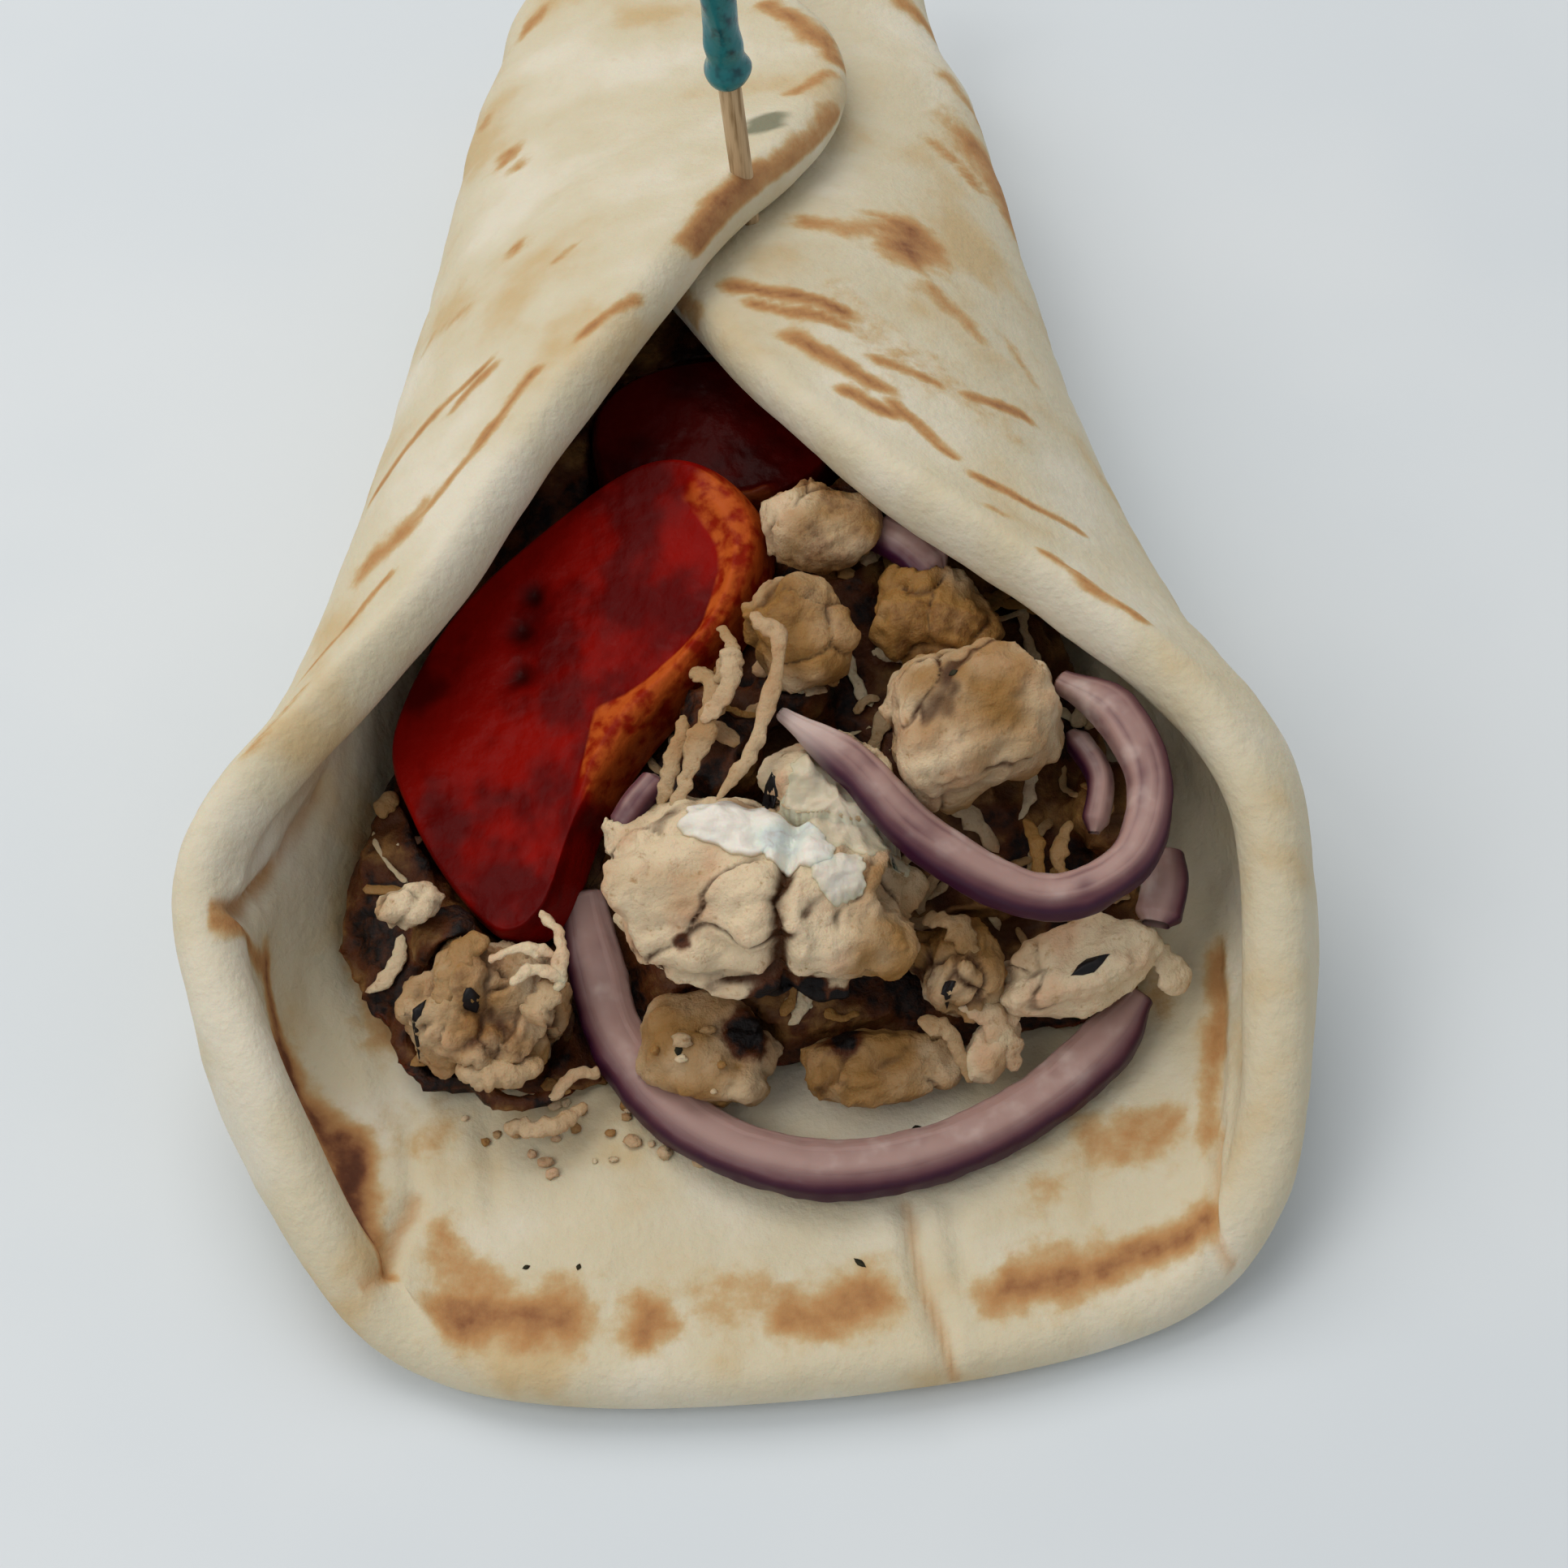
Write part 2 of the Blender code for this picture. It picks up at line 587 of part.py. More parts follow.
def band_rings(path, wide, deep, up, tips, sides):
    """Rounded box sections across a path. Wide lies square to the path and up, and tips are end scales."""
    forward = np.gradient(path, axis=0)
    forward /= np.linalg.norm(forward, axis=1)[:, None]
    aside = np.cross(forward, up)
    aside /= np.linalg.norm(aside, axis=1)[:, None]
    upward = np.cross(aside, forward)
    along = np.linspace(0, 1, len(path))
    scale = np.interp(along, (0.0, BAND_TIP, 1.0 - BAND_TIP, 1.0), (tips[0], 1.0, 1.0, tips[1]))
    angle = (np.arange(sides) + 0.5) / sides * 2 * math.pi
    corner = 2 / BAND_SQUARENESS
    u = np.sign(np.cos(angle)) * np.abs(np.cos(angle)) ** corner * wide / 2
    v = np.sign(np.sin(angle)) * np.abs(np.sin(angle)) ** corner * deep / 2
    return (
        path[:, None, :]
        + scale[:, None, None] * (u[None, :, None] * aside[:, None, :] + v[None, :, None] * upward[:, None, :])
    )


def build_onion(materials, parts):
    made = []
    for name, (points, wide, deep, tips) in ONION_BANDS.items():
        path = smooth_path(points, 4 * len(points))
        mesh = loft_mesh(name, band_rings(path, wide, deep, (0, 0, 1), tips, 8))
        made.append(add_object(name, mesh, materials["onion"], parts))
    return made


def slice_mesh(name, outline, thickness):
    """A slice lying on z = 0 from its top face down: its outline at several depths, rounded at both edges."""
    edge = smooth_path(outline, SLICE_SIDES, closed=True)
    middle = edge.mean(axis=0)
    rings = []
    for depth, inward in ((0.0, 3.0), (0.0, 1.0), (0.13, 0.2), (0.5, 0.0), (0.87, 0.2), (1.0, 1.0), (1.0, 3.0)):
        offset = edge - middle
        length = np.linalg.norm(offset, axis=1)[:, None]
        ring = middle + offset * (1 - inward / length)
        rings.append(np.column_stack([ring, np.full(len(ring), -depth * thickness)]))
    return loft_mesh(name, rings)


def build_tomato(materials, parts):
    made = []
    for name, (outline, thickness, centre, along, facing) in TOMATO_SLICES.items():
        slice_ = add_object(name, slice_mesh(name, outline, thickness), materials["tomato"], parts)
        up = Vector(facing).normalized()
        ahead = Vector(along)
        ahead = (ahead - up * ahead.dot(up)).normalized()
        turned = Matrix((ahead, up.cross(ahead), up)).transposed()
        slice_.matrix_world = Matrix.Translation(Vector(centre) * MM) @ turned.to_4x4()
        made.append(slice_)
    return made


def roll_roundness(side, fraction):
    """The superellipse powers of one side, below and above its widest point."""
    back = smooth_step((fraction - 0.2) / 0.35)
    return [near * (1 - back) + far * back for near, far in zip(MOUTH_ROUNDNESS[side], BACK_ROUNDNESS)]


def heap_top(row, roof):
    """How high the heap lies where this row, which leans back with height, meets its surface."""
    top = roof
    for _ in range(HEAP_ROUNDS):
        along = lengthwise(np.array(row), top, 1.0)
        top = (top + min(float(np.interp(along, *zip(*HEAP_TOP))), roof)) / 2
    return top


def core_side(side, row, roof, top, count):
    """(x, z) up one side of the filling: along the inside of the roll, then over the heap to its middle."""
    fraction = (row + PITA_RADIUS) / (2 * PITA_RADIUS)
    low, high = roll_roundness(side, fraction)
    half_width = HALF_WIDTH_LEFT if side == "left" else HALF_WIDTH_RIGHT
    under_flap = 0.0 if side == "left" else (PITA_THICKNESS + LAYER_GAP) / 2
    wide = float(along_roll(fraction, half_width)) - PITA_THICKNESS / 2 - CORE_CLEARANCE - under_flap
    if side == "left":
        wide -= CORE_DRAWN_IN * (1.0 - float(smooth_step((row - CORE_FRONT) / CORE_DRAWN_ROWS)))
    widest = float(along_roll(fraction, WIDEST_HEIGHT))
    bottom = PITA_THICKNESS + CORE_LIFT
    shoulder = min(bottom + CORE_SHOULDER * (top - bottom), widest)
    last = math.acos(((widest - shoulder) / (widest - bottom)) ** (low / 2))
    angle = last * np.arange(count) / (count - 1)
    lower_x = wide * np.sin(angle) ** (2 / low)
    lower_z = widest - (widest - bottom) * np.cos(angle) ** (2 / low)
    full = ((top - bottom) / (roof - bottom)) ** 2
    power = 2 / (CORE_ROUNDNESS * (1 - full) + high * full)
    over = math.pi / 2 * np.arange(1, count + 1) / count
    upper_x = lower_x[-1] * np.clip(np.cos(over), 0, 1) ** power
    upper_z = shoulder + (top - shoulder) * np.sin(over) ** power
    sign = -1.0 if side == "left" else 1.0
    return np.concatenate([lower_x, upper_x]) * sign, np.concatenate([lower_z, upper_z])


def core_ring(row, count):
    """One section of the filling: the inside of the roll up to the heap's lumpy top."""
    fraction = (row + PITA_RADIUS) / (2 * PITA_RADIUS)
    roof = float(along_roll(fraction, ROLL_HEIGHT)) - 1.5 * PITA_THICKNESS - LAYER_GAP - CORE_CLEARANCE
    top = heap_top(row, roof)
    right_x, right_z = core_side("right", row, roof, top, count)
    left_x, left_z = core_side("left", row, roof, top, count)
    across = np.concatenate([right_x, left_x[-2:0:-1]])
    height = np.concatenate([right_z, left_z[-2:0:-1]])
    on_top = np.zeros(len(across), bool)
    on_top[count : -count + 1] = True
    relief = CORE_RELIEF * min((top - PITA_THICKNESS) / CORE_FULL_HEIGHT, 1.0) * np.array(
        [noise.noise(Vector((x, row, z)) * CORE_RELIEF_SCALE) for x, z in zip(across, height)]
    )
    along = lengthwise(np.array(row), height, 1.0)
    mounds = sum(
        rise * np.exp(-((across - x) ** 2 + (along - y) ** 2) / radius**2) for x, y, rise, radius in HEAP_MOUNDS
    )
    height = np.where(on_top, np.minimum(height + relief + mounds, np.maximum(height, roof)), height)
    return np.column_stack([across, along, height])


def build_core(materials, parts):
    """The heap of chicken: its core through the roll, with the lumps and shreds that show fused on."""
    rows = np.linspace(CORE_FRONT, CORE_BACK, CORE_LINES)
    rings = [core_ring(row, CORE_COLUMNS // 4) for row in rows]
    core = add_object("chicken_filling", loft_mesh("chicken_filling", rings), materials["shreds"], parts)
    loose = bpy.data.collections.new("loose_shreds")
    bpy.context.scene.collection.children.link(loose)
    for number, (start, middle, end, wide, deep) in enumerate(SHREDS):
        path = smooth_path((start, middle, end), 6)
        mesh = loft_mesh(f"shred_{number}", band_rings(path, wide, deep, (0.2, 0.1, 1), (0.45, 0.45), 6))
        add_object(f"shred_{number}", mesh, materials["shreds"], loose)
    for number, (centre, size) in enumerate(HEAP_LUMPS):
        mesh = chunk_mesh(f"lump_{number}", size, number + 20, CHUNK_LUMPS, 2)
        lump = add_object(f"lump_{number}", mesh, materials["shreds"], loose)
        lump.location = Vector(centre) * MM
    union = core.modifiers.new("Shreds", "BOOLEAN")
    union.operation = "UNION"
    union.operand_type = "COLLECTION"
    union.collection = loose
    settle(core, [])
    for fused in list(loose.objects):
        bpy.data.objects.remove(fused, do_unlink=True)
    bpy.data.collections.remove(loose)
    return core


def tube_rings(heights, radii, sides, pleats=0, depth=0.0):
    """Round sections up a straight axis, pleated by depth where pleats are asked for."""
    angle = np.arange(sides) / sides * 2 * math.pi
    rings = []
    for height, radius in zip(heights, radii):
        reach = radius * (1 - depth * (0.5 + 0.5 * np.cos(pleats * angle)))
        rings.append(np.column_stack([reach * np.cos(angle), reach * np.sin(angle), np.full(sides, height)]))
    return rings


def build_pick(materials, parts):
    """The pick: a wooden stick, a film sleeve wound round it and the film's frill on top."""
    lean = Matrix.Rotation(PICK_LEAN[0], 4, "Y") @ Matrix.Rotation(PICK_LEAN[1], 4, "X")
    place = Matrix.Translation(Vector(PICK_FOOT) * MM) @ lean
    tip = 3.0
    stick_rings = tube_rings((0, tip, STICK_LENGTH), (0.3, STICK_RADIUS, STICK_RADIUS), 12)
    hollow = STICK_RADIUS + GAP
    top = SLEEVE_START + SLEEVE_LENGTH
    outer = tube_rings(
        (SLEEVE_START, SLEEVE_START + 1.5, SLEEVE_START + 3.5, top - 2.0, top),
        (SLEEVE_RADIUS + 0.55, SLEEVE_RADIUS + 0.35, SLEEVE_RADIUS, SLEEVE_RADIUS, SLEEVE_RADIUS + 0.25),
        12,
    )
    inner = tube_rings((top, SLEEVE_START), (hollow, hollow), 12)
    frill_end = FRILL_START + FRILL_LENGTH
    frill_sides = 4 * FRILL_PLEATS
    frill_outer = tube_rings(
        (FRILL_START, FRILL_START + 3.5, FRILL_START + 7.5, frill_end),
        (SLEEVE_RADIUS + 0.3, 0.62 * FRILL_RADIUS, FRILL_RADIUS, 0.8 * FRILL_RADIUS),
        frill_sides,
        FRILL_PLEATS,
        0.35,
    )
    frill_inner = tube_rings(
        (STICK_LENGTH + 1.0, STICK_LENGTH + 0.6, FRILL_START), (0.25, hollow, hollow), frill_sides
    )
    shapes = (
        ("pick_stick", stick_rings, "wood", False),
        ("pick_sleeve", outer + inner, "film", True),
        ("pick_frill", frill_outer + frill_inner, "film", True),
    )
    made = []
    for name, rings, finish, ring_shaped in shapes:
        if ring_shaped:
            mesh = ring_mesh(name, rings)
        else:
            mesh = loft_mesh(name, rings)
        piece = add_object(name, mesh, materials[finish], parts)
        piece.matrix_world = place
        made.append(piece)
    return made


def ring_mesh(name, rings):
    """A closed mesh whose last ring joins its first, for a tube with a hole through it."""
    rings = np.asarray(rings, float)
    lines, columns, _ = rings.shape
    line, column = np.meshgrid(np.arange(lines), np.arange(columns), indexing="ij")
    here = line * columns + column
    aside = line * columns + (column + 1) % columns
    above = (line + 1) % lines * columns
    faces = np.stack([here, aside, above + (column + 1) % columns, above + column], axis=2)
    mesh = bpy.data.meshes.new(name)
    mesh.from_pydata((rings.reshape(-1, 3) * MM).tolist(), [], faces.reshape(-1, 4).tolist())
    face_outward(mesh)
    return mesh


def main():
    for old in list(bpy.data.objects):
        bpy.data.objects.remove(old, do_unlink=True)
    parts = bpy.data.collections.new("gyro_wrap")
    cutters = bpy.data.collections.new("cutters")
    for collection in (parts, cutters):
        bpy.context.scene.collection.children.link(collection)
    materials = {
        "pita": new_material("Pita", PITA_COLOUR, 0.75),
        "chicken": new_material("Chicken", CHICKEN_COLOUR, 0.5),
        "shreds": new_material("Shredded chicken", SHRED_COLOUR, 0.5),
        "tomato": new_material("Tomato", TOMATO_COLOUR, 0.25),
        "onion": new_material("Red onion", ONION_COLOUR, 0.3),
        "wood": new_material("Birch stick", WOOD_COLOUR, 0.6),
        "film": new_material("Teal film", FRILL_COLOUR, 0.3),
    }
    pita = build_pita(materials, parts, cutters)
    pick = build_pick(materials, parts)
    pieces = pick[:1] + build_onion(materials, parts) + build_tomato(materials, parts)
    pieces += build_chunks(materials, parts)
    pieces.append(build_core(materials, parts))
    bpy.context.view_layer.update()
    hollows = [add_cutter(piece, cutters) for piece in pieces[:-1]]
    bpy.context.view_layer.update()
    for number, piece in enumerate(pieces):
        settle(piece, [hollow for hollow in hollows[:number] if boxes_meet(hollow, piece)])
    cut(pita, hollows[0], "Pick hole")


if __name__ == "__main__":
    main()
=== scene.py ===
"""Looks of a gyro wrap: a pita rolled round chicken, tomato and red onion, held by a pick.

Sizes are in millimetres, and are turned to metres when a mesh, a light or the camera is made. Every
piece is a surface worked out on a grid with numpy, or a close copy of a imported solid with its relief
worked out point by point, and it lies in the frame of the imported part.
"""

from __future__ import annotations

import json
import logging
import math
from dataclasses import dataclass, field, replace
from enum import Enum
from itertools import product
from typing import Any, Callable

import bmesh
import bpy
import numpy as np
from mathutils import Matrix, Vector
from mathutils.bvhtree import BVHTree

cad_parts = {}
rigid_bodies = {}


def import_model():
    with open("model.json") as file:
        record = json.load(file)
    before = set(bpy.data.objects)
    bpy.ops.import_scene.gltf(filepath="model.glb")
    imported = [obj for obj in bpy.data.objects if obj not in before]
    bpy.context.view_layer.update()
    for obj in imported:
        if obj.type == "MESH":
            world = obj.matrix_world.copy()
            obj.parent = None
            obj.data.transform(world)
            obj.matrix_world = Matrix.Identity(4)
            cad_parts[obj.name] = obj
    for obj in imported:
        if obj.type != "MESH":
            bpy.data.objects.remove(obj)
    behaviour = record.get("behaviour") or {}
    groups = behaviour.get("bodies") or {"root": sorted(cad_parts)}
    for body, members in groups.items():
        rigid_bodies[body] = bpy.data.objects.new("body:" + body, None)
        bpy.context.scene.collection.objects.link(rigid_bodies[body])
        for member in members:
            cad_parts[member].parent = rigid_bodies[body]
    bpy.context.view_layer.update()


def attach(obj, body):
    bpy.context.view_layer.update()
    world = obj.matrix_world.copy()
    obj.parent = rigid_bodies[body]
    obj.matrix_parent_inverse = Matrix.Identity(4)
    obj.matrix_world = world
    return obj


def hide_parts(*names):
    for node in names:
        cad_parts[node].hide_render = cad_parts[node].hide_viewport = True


MM = 0.001
LOG = logging.getLogger("gyro_wrap")
Array = np.ndarray
Place = tuple[float, float, float]
Ground = Callable[[Array, Array], Array]


def linear_colour(hex_code: str) -> tuple[float, float, float, float]:
    """Turns an sRGB hex colour to the linear values that a shader takes.

    Args:
        hex_code: a hash and six hex digits.

    Returns:
        Red, green, blue and an alpha of 1.
    """
    digits = hex_code.lstrip("#")
    parts = [int(digits[i : i + 2], 16) / 255 for i in (0, 2, 4)]
    red, green, blue = [c / 12.92 if c <= 0.04045 else ((c + 0.055) / 1.055) ** 2.4 for c in parts]
    return red, green, blue, 1.0


def per_metre(size_mm: float) -> float:
    """The texture scale at which a pattern on Object coordinates repeats about every size_mm."""
    return 1.0 / (size_mm * MM)


def smooth_step(value: Array | float) -> Array:
    """0 below 0, 1 above 1, and 3v^2 - 2v^3 between them."""
    value = np.clip(value, 0.0, 1.0)
    return value * value * (3.0 - 2.0 * value)


def bell(distance: Array, width: float) -> Array:
    """1 at no distance, falling as exp(-(distance / width)^2)."""
    return np.exp(-((distance / width) ** 2))


def cell_values(cells: Array, seed: int) -> Array:
    """A repeatable value from 0 to 1 for each whole-numbered cell, by mixing the bits of its numbers.

    Args:
        cells: three whole numbers a row.
        seed: picks the set of values.

    Returns:
        One value for each cell.
    """
    x, y, z = cells.T
    mixed = (x * 73856093) ^ (y * 19349663) ^ (z * 83492791) ^ (seed * 2654435761)
    mixed = ((mixed ^ (mixed >> 13)) * 1274126177) & 0xFFFFFFFF
    mixed = ((mixed ^ (mixed >> 16)) * 668265263) & 0xFFFFFFFF
    return mixed / 2**32


def lattice_noise(points: Array, size: float, seed: int) -> Array:
    """Smooth noise from -1 to 1: a value at each corner of a cubic lattice, blended by 6u^5 - 15u^4 + 10u^3.

    Args:
        points: places in mm, one row each.
        size: edge of a lattice cube in mm.
        seed: picks the set of values.

    Returns:
        One value for each point.
    """
    scaled = np.asarray(points, float) / size
    cell = np.floor(scaled).astype(np.int64)
    u = scaled - cell
    u = u * u * u * (u * (u * 6 - 15) + 10)
    total = np.zeros(len(scaled))
    for corner in product((0, 1), repeat=3):
        weight = np.prod(np.where(np.array(corner) == 1, u, 1 - u), axis=1)
        total += weight * (2 * cell_values(cell + np.array(corner), seed) - 1)
    return total


def layered_noise(points: Array, size: float, seed: int, layers: int = 3) -> Array:
    """Noise summed over layers, each half as large and half as strong as the one before, from -1 to 1.

    Args:
        points: places in mm, one row each.
        size: lattice size of the first layer in mm.
        seed: picks the set of values.
        layers: number of layers.

    Returns:
        One value for each point.
    """
    strengths = [0.5**k for k in range(layers)]
    total = sum(s * lattice_noise(points, size * s, seed + k) for k, s in enumerate(strengths))
    return total / sum(strengths)


def clod_distances(points: Array, size: float, seed: int) -> tuple[Array, Array]:
    """Distances to the nearest and second nearest of scattered middles, one in each cube of a lattice.

    Args:
        points: places in mm, one row each.
        size: edge of a lattice cube in mm, so about the size of a clod.
        seed: picks the middles.

    Returns:
        Both distances in mm, for each point.
    """
    scaled = np.asarray(points, float) / size
    cell = np.floor(scaled).astype(np.int64)
    nearest = np.full(len(scaled), 9.0)
    second = np.full(len(scaled), 9.0)
    for offset in product((-1, 0, 1), repeat=3):
        corner = cell + np.array(offset)
        middle = corner + np.column_stack([cell_values(corner, seed + k) for k in range(3)])
        away = np.linalg.norm(scaled - middle, axis=1)
        second = np.minimum(second, np.maximum(nearest, away))
        nearest = np.minimum(nearest, away)
    return nearest * size, second * size


def grid_quads(lines: int, columns: int, close_lines: bool = False, close_columns: bool = False) -> Array:
    """Quads between the points of a grid that is numbered line by line.

    Args:
        lines: number of grid lines.
        columns: number of points in each line.
        close_lines: joins the last line to the first.
        close_columns: joins the last point of each line to its first.

    Returns:
        One row of four point numbers for each quad.
    """
    line, column = np.meshgrid(
        np.arange(lines if close_lines else lines - 1),
        np.arange(columns if close_columns else columns - 1),
        indexing="ij",
    )
    below, above = line * columns, (line + 1) % lines * columns
    aside = (column + 1) % columns
    return np.stack([below + column, below + aside, above + aside, above + column], axis=2).reshape(-1, 4)


def smooth_path(points: Any, count: int, closed: bool = False) -> Array:
    """Samples of the Catmull-Rom curve through the points.

    Args:
        points: places that the curve passes through.
        count: number of samples.
        closed: joins the curve's end to its start.

    Returns:
        One row for each sample.
    """
    points = np.asarray(points, float)
    if closed:
        points = np.concatenate([points[-1:], points, points[:2]])
    else:
        points = np.concatenate([2 * points[:1] - points[1:2], points, 2 * points[-1:] - points[-2:-1]])
    spans = len(points) - 3
    at = np.linspace(0, spans, count, endpoint=not closed)
    span = np.minimum(at.astype(int), spans - 1)
    u = (at - span)[:, None]
    p0, p1, p2, p3 = (points[span + i] for i in range(4))
    cubic = -p0 + 3 * p1 - 3 * p2 + p3
    return 0.5 * (2 * p1 + (p2 - p0) * u + (2 * p0 - 5 * p1 + 4 * p2 - p3) * u**2 + cubic * u**3)


class Value(Enum):
    """Names of the point values that finishes read."""

    # Browning; on the chicken it also carries painted shade over the heap and painted shadow in the cavity
    # below the main piece
    BROWNED = "browned"
    FOLD = "fold"
    TONE = "tone"
    # Depth; on the chicken low values bring painted shade in hollows, and on the tomato it also carries
    # painted shade
    DEPTH = "depth"
    THIN = "thin"


@dataclass
class Surface:
    """Points in mm with their faces, and values that the finish reads at each point."""

    points: Array
    faces: list[list[int]]
    values: dict[Value, Array] = field(default_factory=dict)

    @classmethod
    def capped(cls, rings: Array, values: dict[Value, Array] | None = None) -> Surface:
        """A closed surface through rings of points, with a fan of triangles to a middle point at both ends.

        Args:
            rings: lines of points in mm, as (lines, sides, 3).
            values: for each name, one value a ring point.

        Returns:
            The closed surface.
        """
        lines, sides, _ = rings.shape
        poles = np.stack([rings[0].mean(axis=0), rings[-1].mean(axis=0)])
        count = lines * sides
        side = np.arange(sides)
        aside = (side + 1) % sides
        first = np.column_stack([np.full(sides, count), aside, side])
        last = np.column_stack([np.full(sides, count + 1), count - sides + side, count - sides + aside])
        faces = grid_quads(lines, sides, close_columns=True).tolist() + first.tolist() + last.tolist()
        filled = {}
        for name, given in (values or {}).items():
            ringed = given.reshape(lines, sides)
            filled[name] = np.concatenate([ringed.ravel(), [ringed[0].mean(), ringed[-1].mean()]])
        return cls(np.concatenate([rings.reshape(-1, 3), poles]), faces, filled)

    @classmethod
    def joined(cls, parts: list[Surface]) -> Surface:
        """Several surfaces as one.

        Args:
            parts: the surfaces, all with the values that the first has.

        Returns:
            One surface with all their points, faces and values.
        """
        starts = np.cumsum([0] + [len(part.points) for part in parts]).tolist()
        faces = []
        for part, start in zip(parts, starts):
            faces += [[corner + start for corner in face] for face in part.faces]
        values = {name: np.concatenate([part.values[name] for part in parts]) for name in parts[0].values}
        return cls(np.concatenate([part.points for part in parts]), faces, values)


def carried(path: Array, across: Array, above: Array, scale: Array, up: Any = (0.0, 0.0, 1.0)) -> Array:
    """Rings of a section carried along a path: the section's width lies square to the path and to up.

    Args:
        path: middle line, one row a ring.
        across: the section's places across.
        above: the section's places above.
        scale: how large each ring is.
        up: the way that the section's top faces.

    Returns:
        Rings of points, as (lines, sides, 3).
    """
    forward = np.gradient(path, axis=0)
    forward /= np.linalg.norm(forward, axis=1)[:, None]
    aside = np.cross(forward, up)
    aside /= np.maximum(np.linalg.norm(aside, axis=1), 1e-6)[:, None]
    upward = np.cross(aside, forward)
    flat = across[None, :, None] * aside[:, None, :] + above[None, :, None] * upward[:, None, :]
    return path[:, None, :] + scale[:, None, None] * flat


def add_piece(
    name: str, surface: Surface, material: bpy.types.Material, nodes: tuple[str, ...] = ()
) -> None:
    """Makes a mesh object of a surface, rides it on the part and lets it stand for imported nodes.

    Args:
        name: the piece's name.
        surface: points in mm, faces and point values.
        material: its finish.
        nodes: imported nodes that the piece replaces.
    """
    mesh = bpy.data.meshes.new(name)
    mesh.from_pydata((surface.points * MM).tolist(), [], surface.faces)
    for key, value in surface.values.items():
        given = mesh.attributes.new(key.value, "FLOAT", "POINT")
        given.data.foreach_set("value", np.asarray(value, np.float32))
    built = bmesh.new()
    built.from_mesh(mesh)
    bmesh.ops.recalc_face_normals(built, faces=built.faces)
    built.to_mesh(mesh)
    built.free()
    mesh.shade_smooth()
    mesh.materials.append(material)
    piece = bpy.data.objects.new(name, mesh)
    bpy.context.scene.collection.objects.link(piece)
    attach(piece, "root")
    if nodes:
        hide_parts(*nodes)
    LOG.info("%s: %d points, %d faces", name, len(mesh.vertices), len(mesh.polygons))


def add_node(
    tree: bpy.types.NodeTree, kind: str, settings: dict[str, Any], inputs: dict[str, Any]
) -> bpy.types.Node:
    """Adds a shader node with its settings and what feeds its inputs.

    Args:
        tree: the material's node tree.
        kind: the node's type, such as ShaderNodeTexNoise.
        settings: properties of the node.
        inputs: for each input, by name or by number as text, an output to link, a hex colour or a value.

    Returns:
        The new node.
    """
    node = tree.nodes.new(kind)
    for key, value in settings.items():
        setattr(node, key, value)
    for key, value in inputs.items():
        socket = node.inputs[int(key)] if key.isdigit() else node.inputs[key]
        if isinstance(value, bpy.types.NodeSocket):
            tree.links.new(value, socket)
        else:
            socket.default_value = linear_colour(value) if isinstance(value, str) else value
    return node


@dataclass(frozen=True)
class Finish:
    """What all finishes share: a name, gloss, and how far light goes into the stuff before it comes out."""

    name: str = "Finish"
    roughness: float = 0.6
    ior: float = 1.45
    specular: float = 0.3
    coat: float = 0.0
    coat_roughness: float = 0.1
    inside_light: float = 0.0
    inside_reach: float = 1.0

    def start(self, *wanted: Value) -> tuple[bpy.types.Material, bpy.types.NodeTree, Any, dict[Value, Any]]:
        """Makes the material with its shader's plain values.

        Args:
            *wanted: the point values that the finish reads.

        Returns:
            The material, its tree, the output that gives the place, and those that give the point values.
        """
        material = bpy.data.materials.new(self.name)
        material.use_nodes = True
        tree = material.node_tree
        shader = tree.nodes["Principled BSDF"]
        plain = {
            "Roughness": self.roughness,
            "IOR": self.ior,
            "Specular IOR Level": self.specular,
            "Coat Weight": self.coat,
            "Coat Roughness": self.coat_roughness,
            "Subsurface Weight": self.inside_light,
            "Subsurface Scale": self.inside_reach * MM,
        }
        for key, number in plain.items():
            shader.inputs[key].default_value = number
        place = add_node(tree, "ShaderNodeTexCoord", {}, {}).outputs["Object"]
        given = {}
        for value in wanted:
            node = add_node(tree, "ShaderNodeAttribute", {"attribute_name": value.value}, {})
            given[value] = node.outputs["Fac"]
        return material, tree, place, given

    def layered(
        self, tree: bpy.types.NodeTree, base: Any, layers: list[tuple[Any, float, float, Any]]
    ) -> Any:
        """Lays colours over a base, each by how far a value has come from one number to another.

        Args:
            tree: the material's node tree.
            base: the colour below, as an output or hex.
            layers: for each colour, the value that brings it, where it starts, where it is full, the colour.

        Returns:
            The output that gives the colour.
        """
        colour = base
        for value, starts, full, above in layers:
            span = {"Value": value, "From Min": starts, "From Max": full}
            share = add_node(tree, "ShaderNodeMapRange", {"interpolation_type": "SMOOTHSTEP"}, span)
            inputs = {"0": share.outputs["Result"], "6": colour, "7": above}
            colour = add_node(tree, "ShaderNodeMix", {"data_type": "RGBA"}, inputs).outputs[2]
        return colour

    def close(self, tree: bpy.types.NodeTree, colour: Any, normal: Any) -> None:
        """Feeds the shader its colour and its normal."""
        tree.links.new(colour, tree.nodes["Principled BSDF"].inputs["Base Color"])
        tree.links.new(normal, tree.nodes["Principled BSDF"].inputs["Normal"])


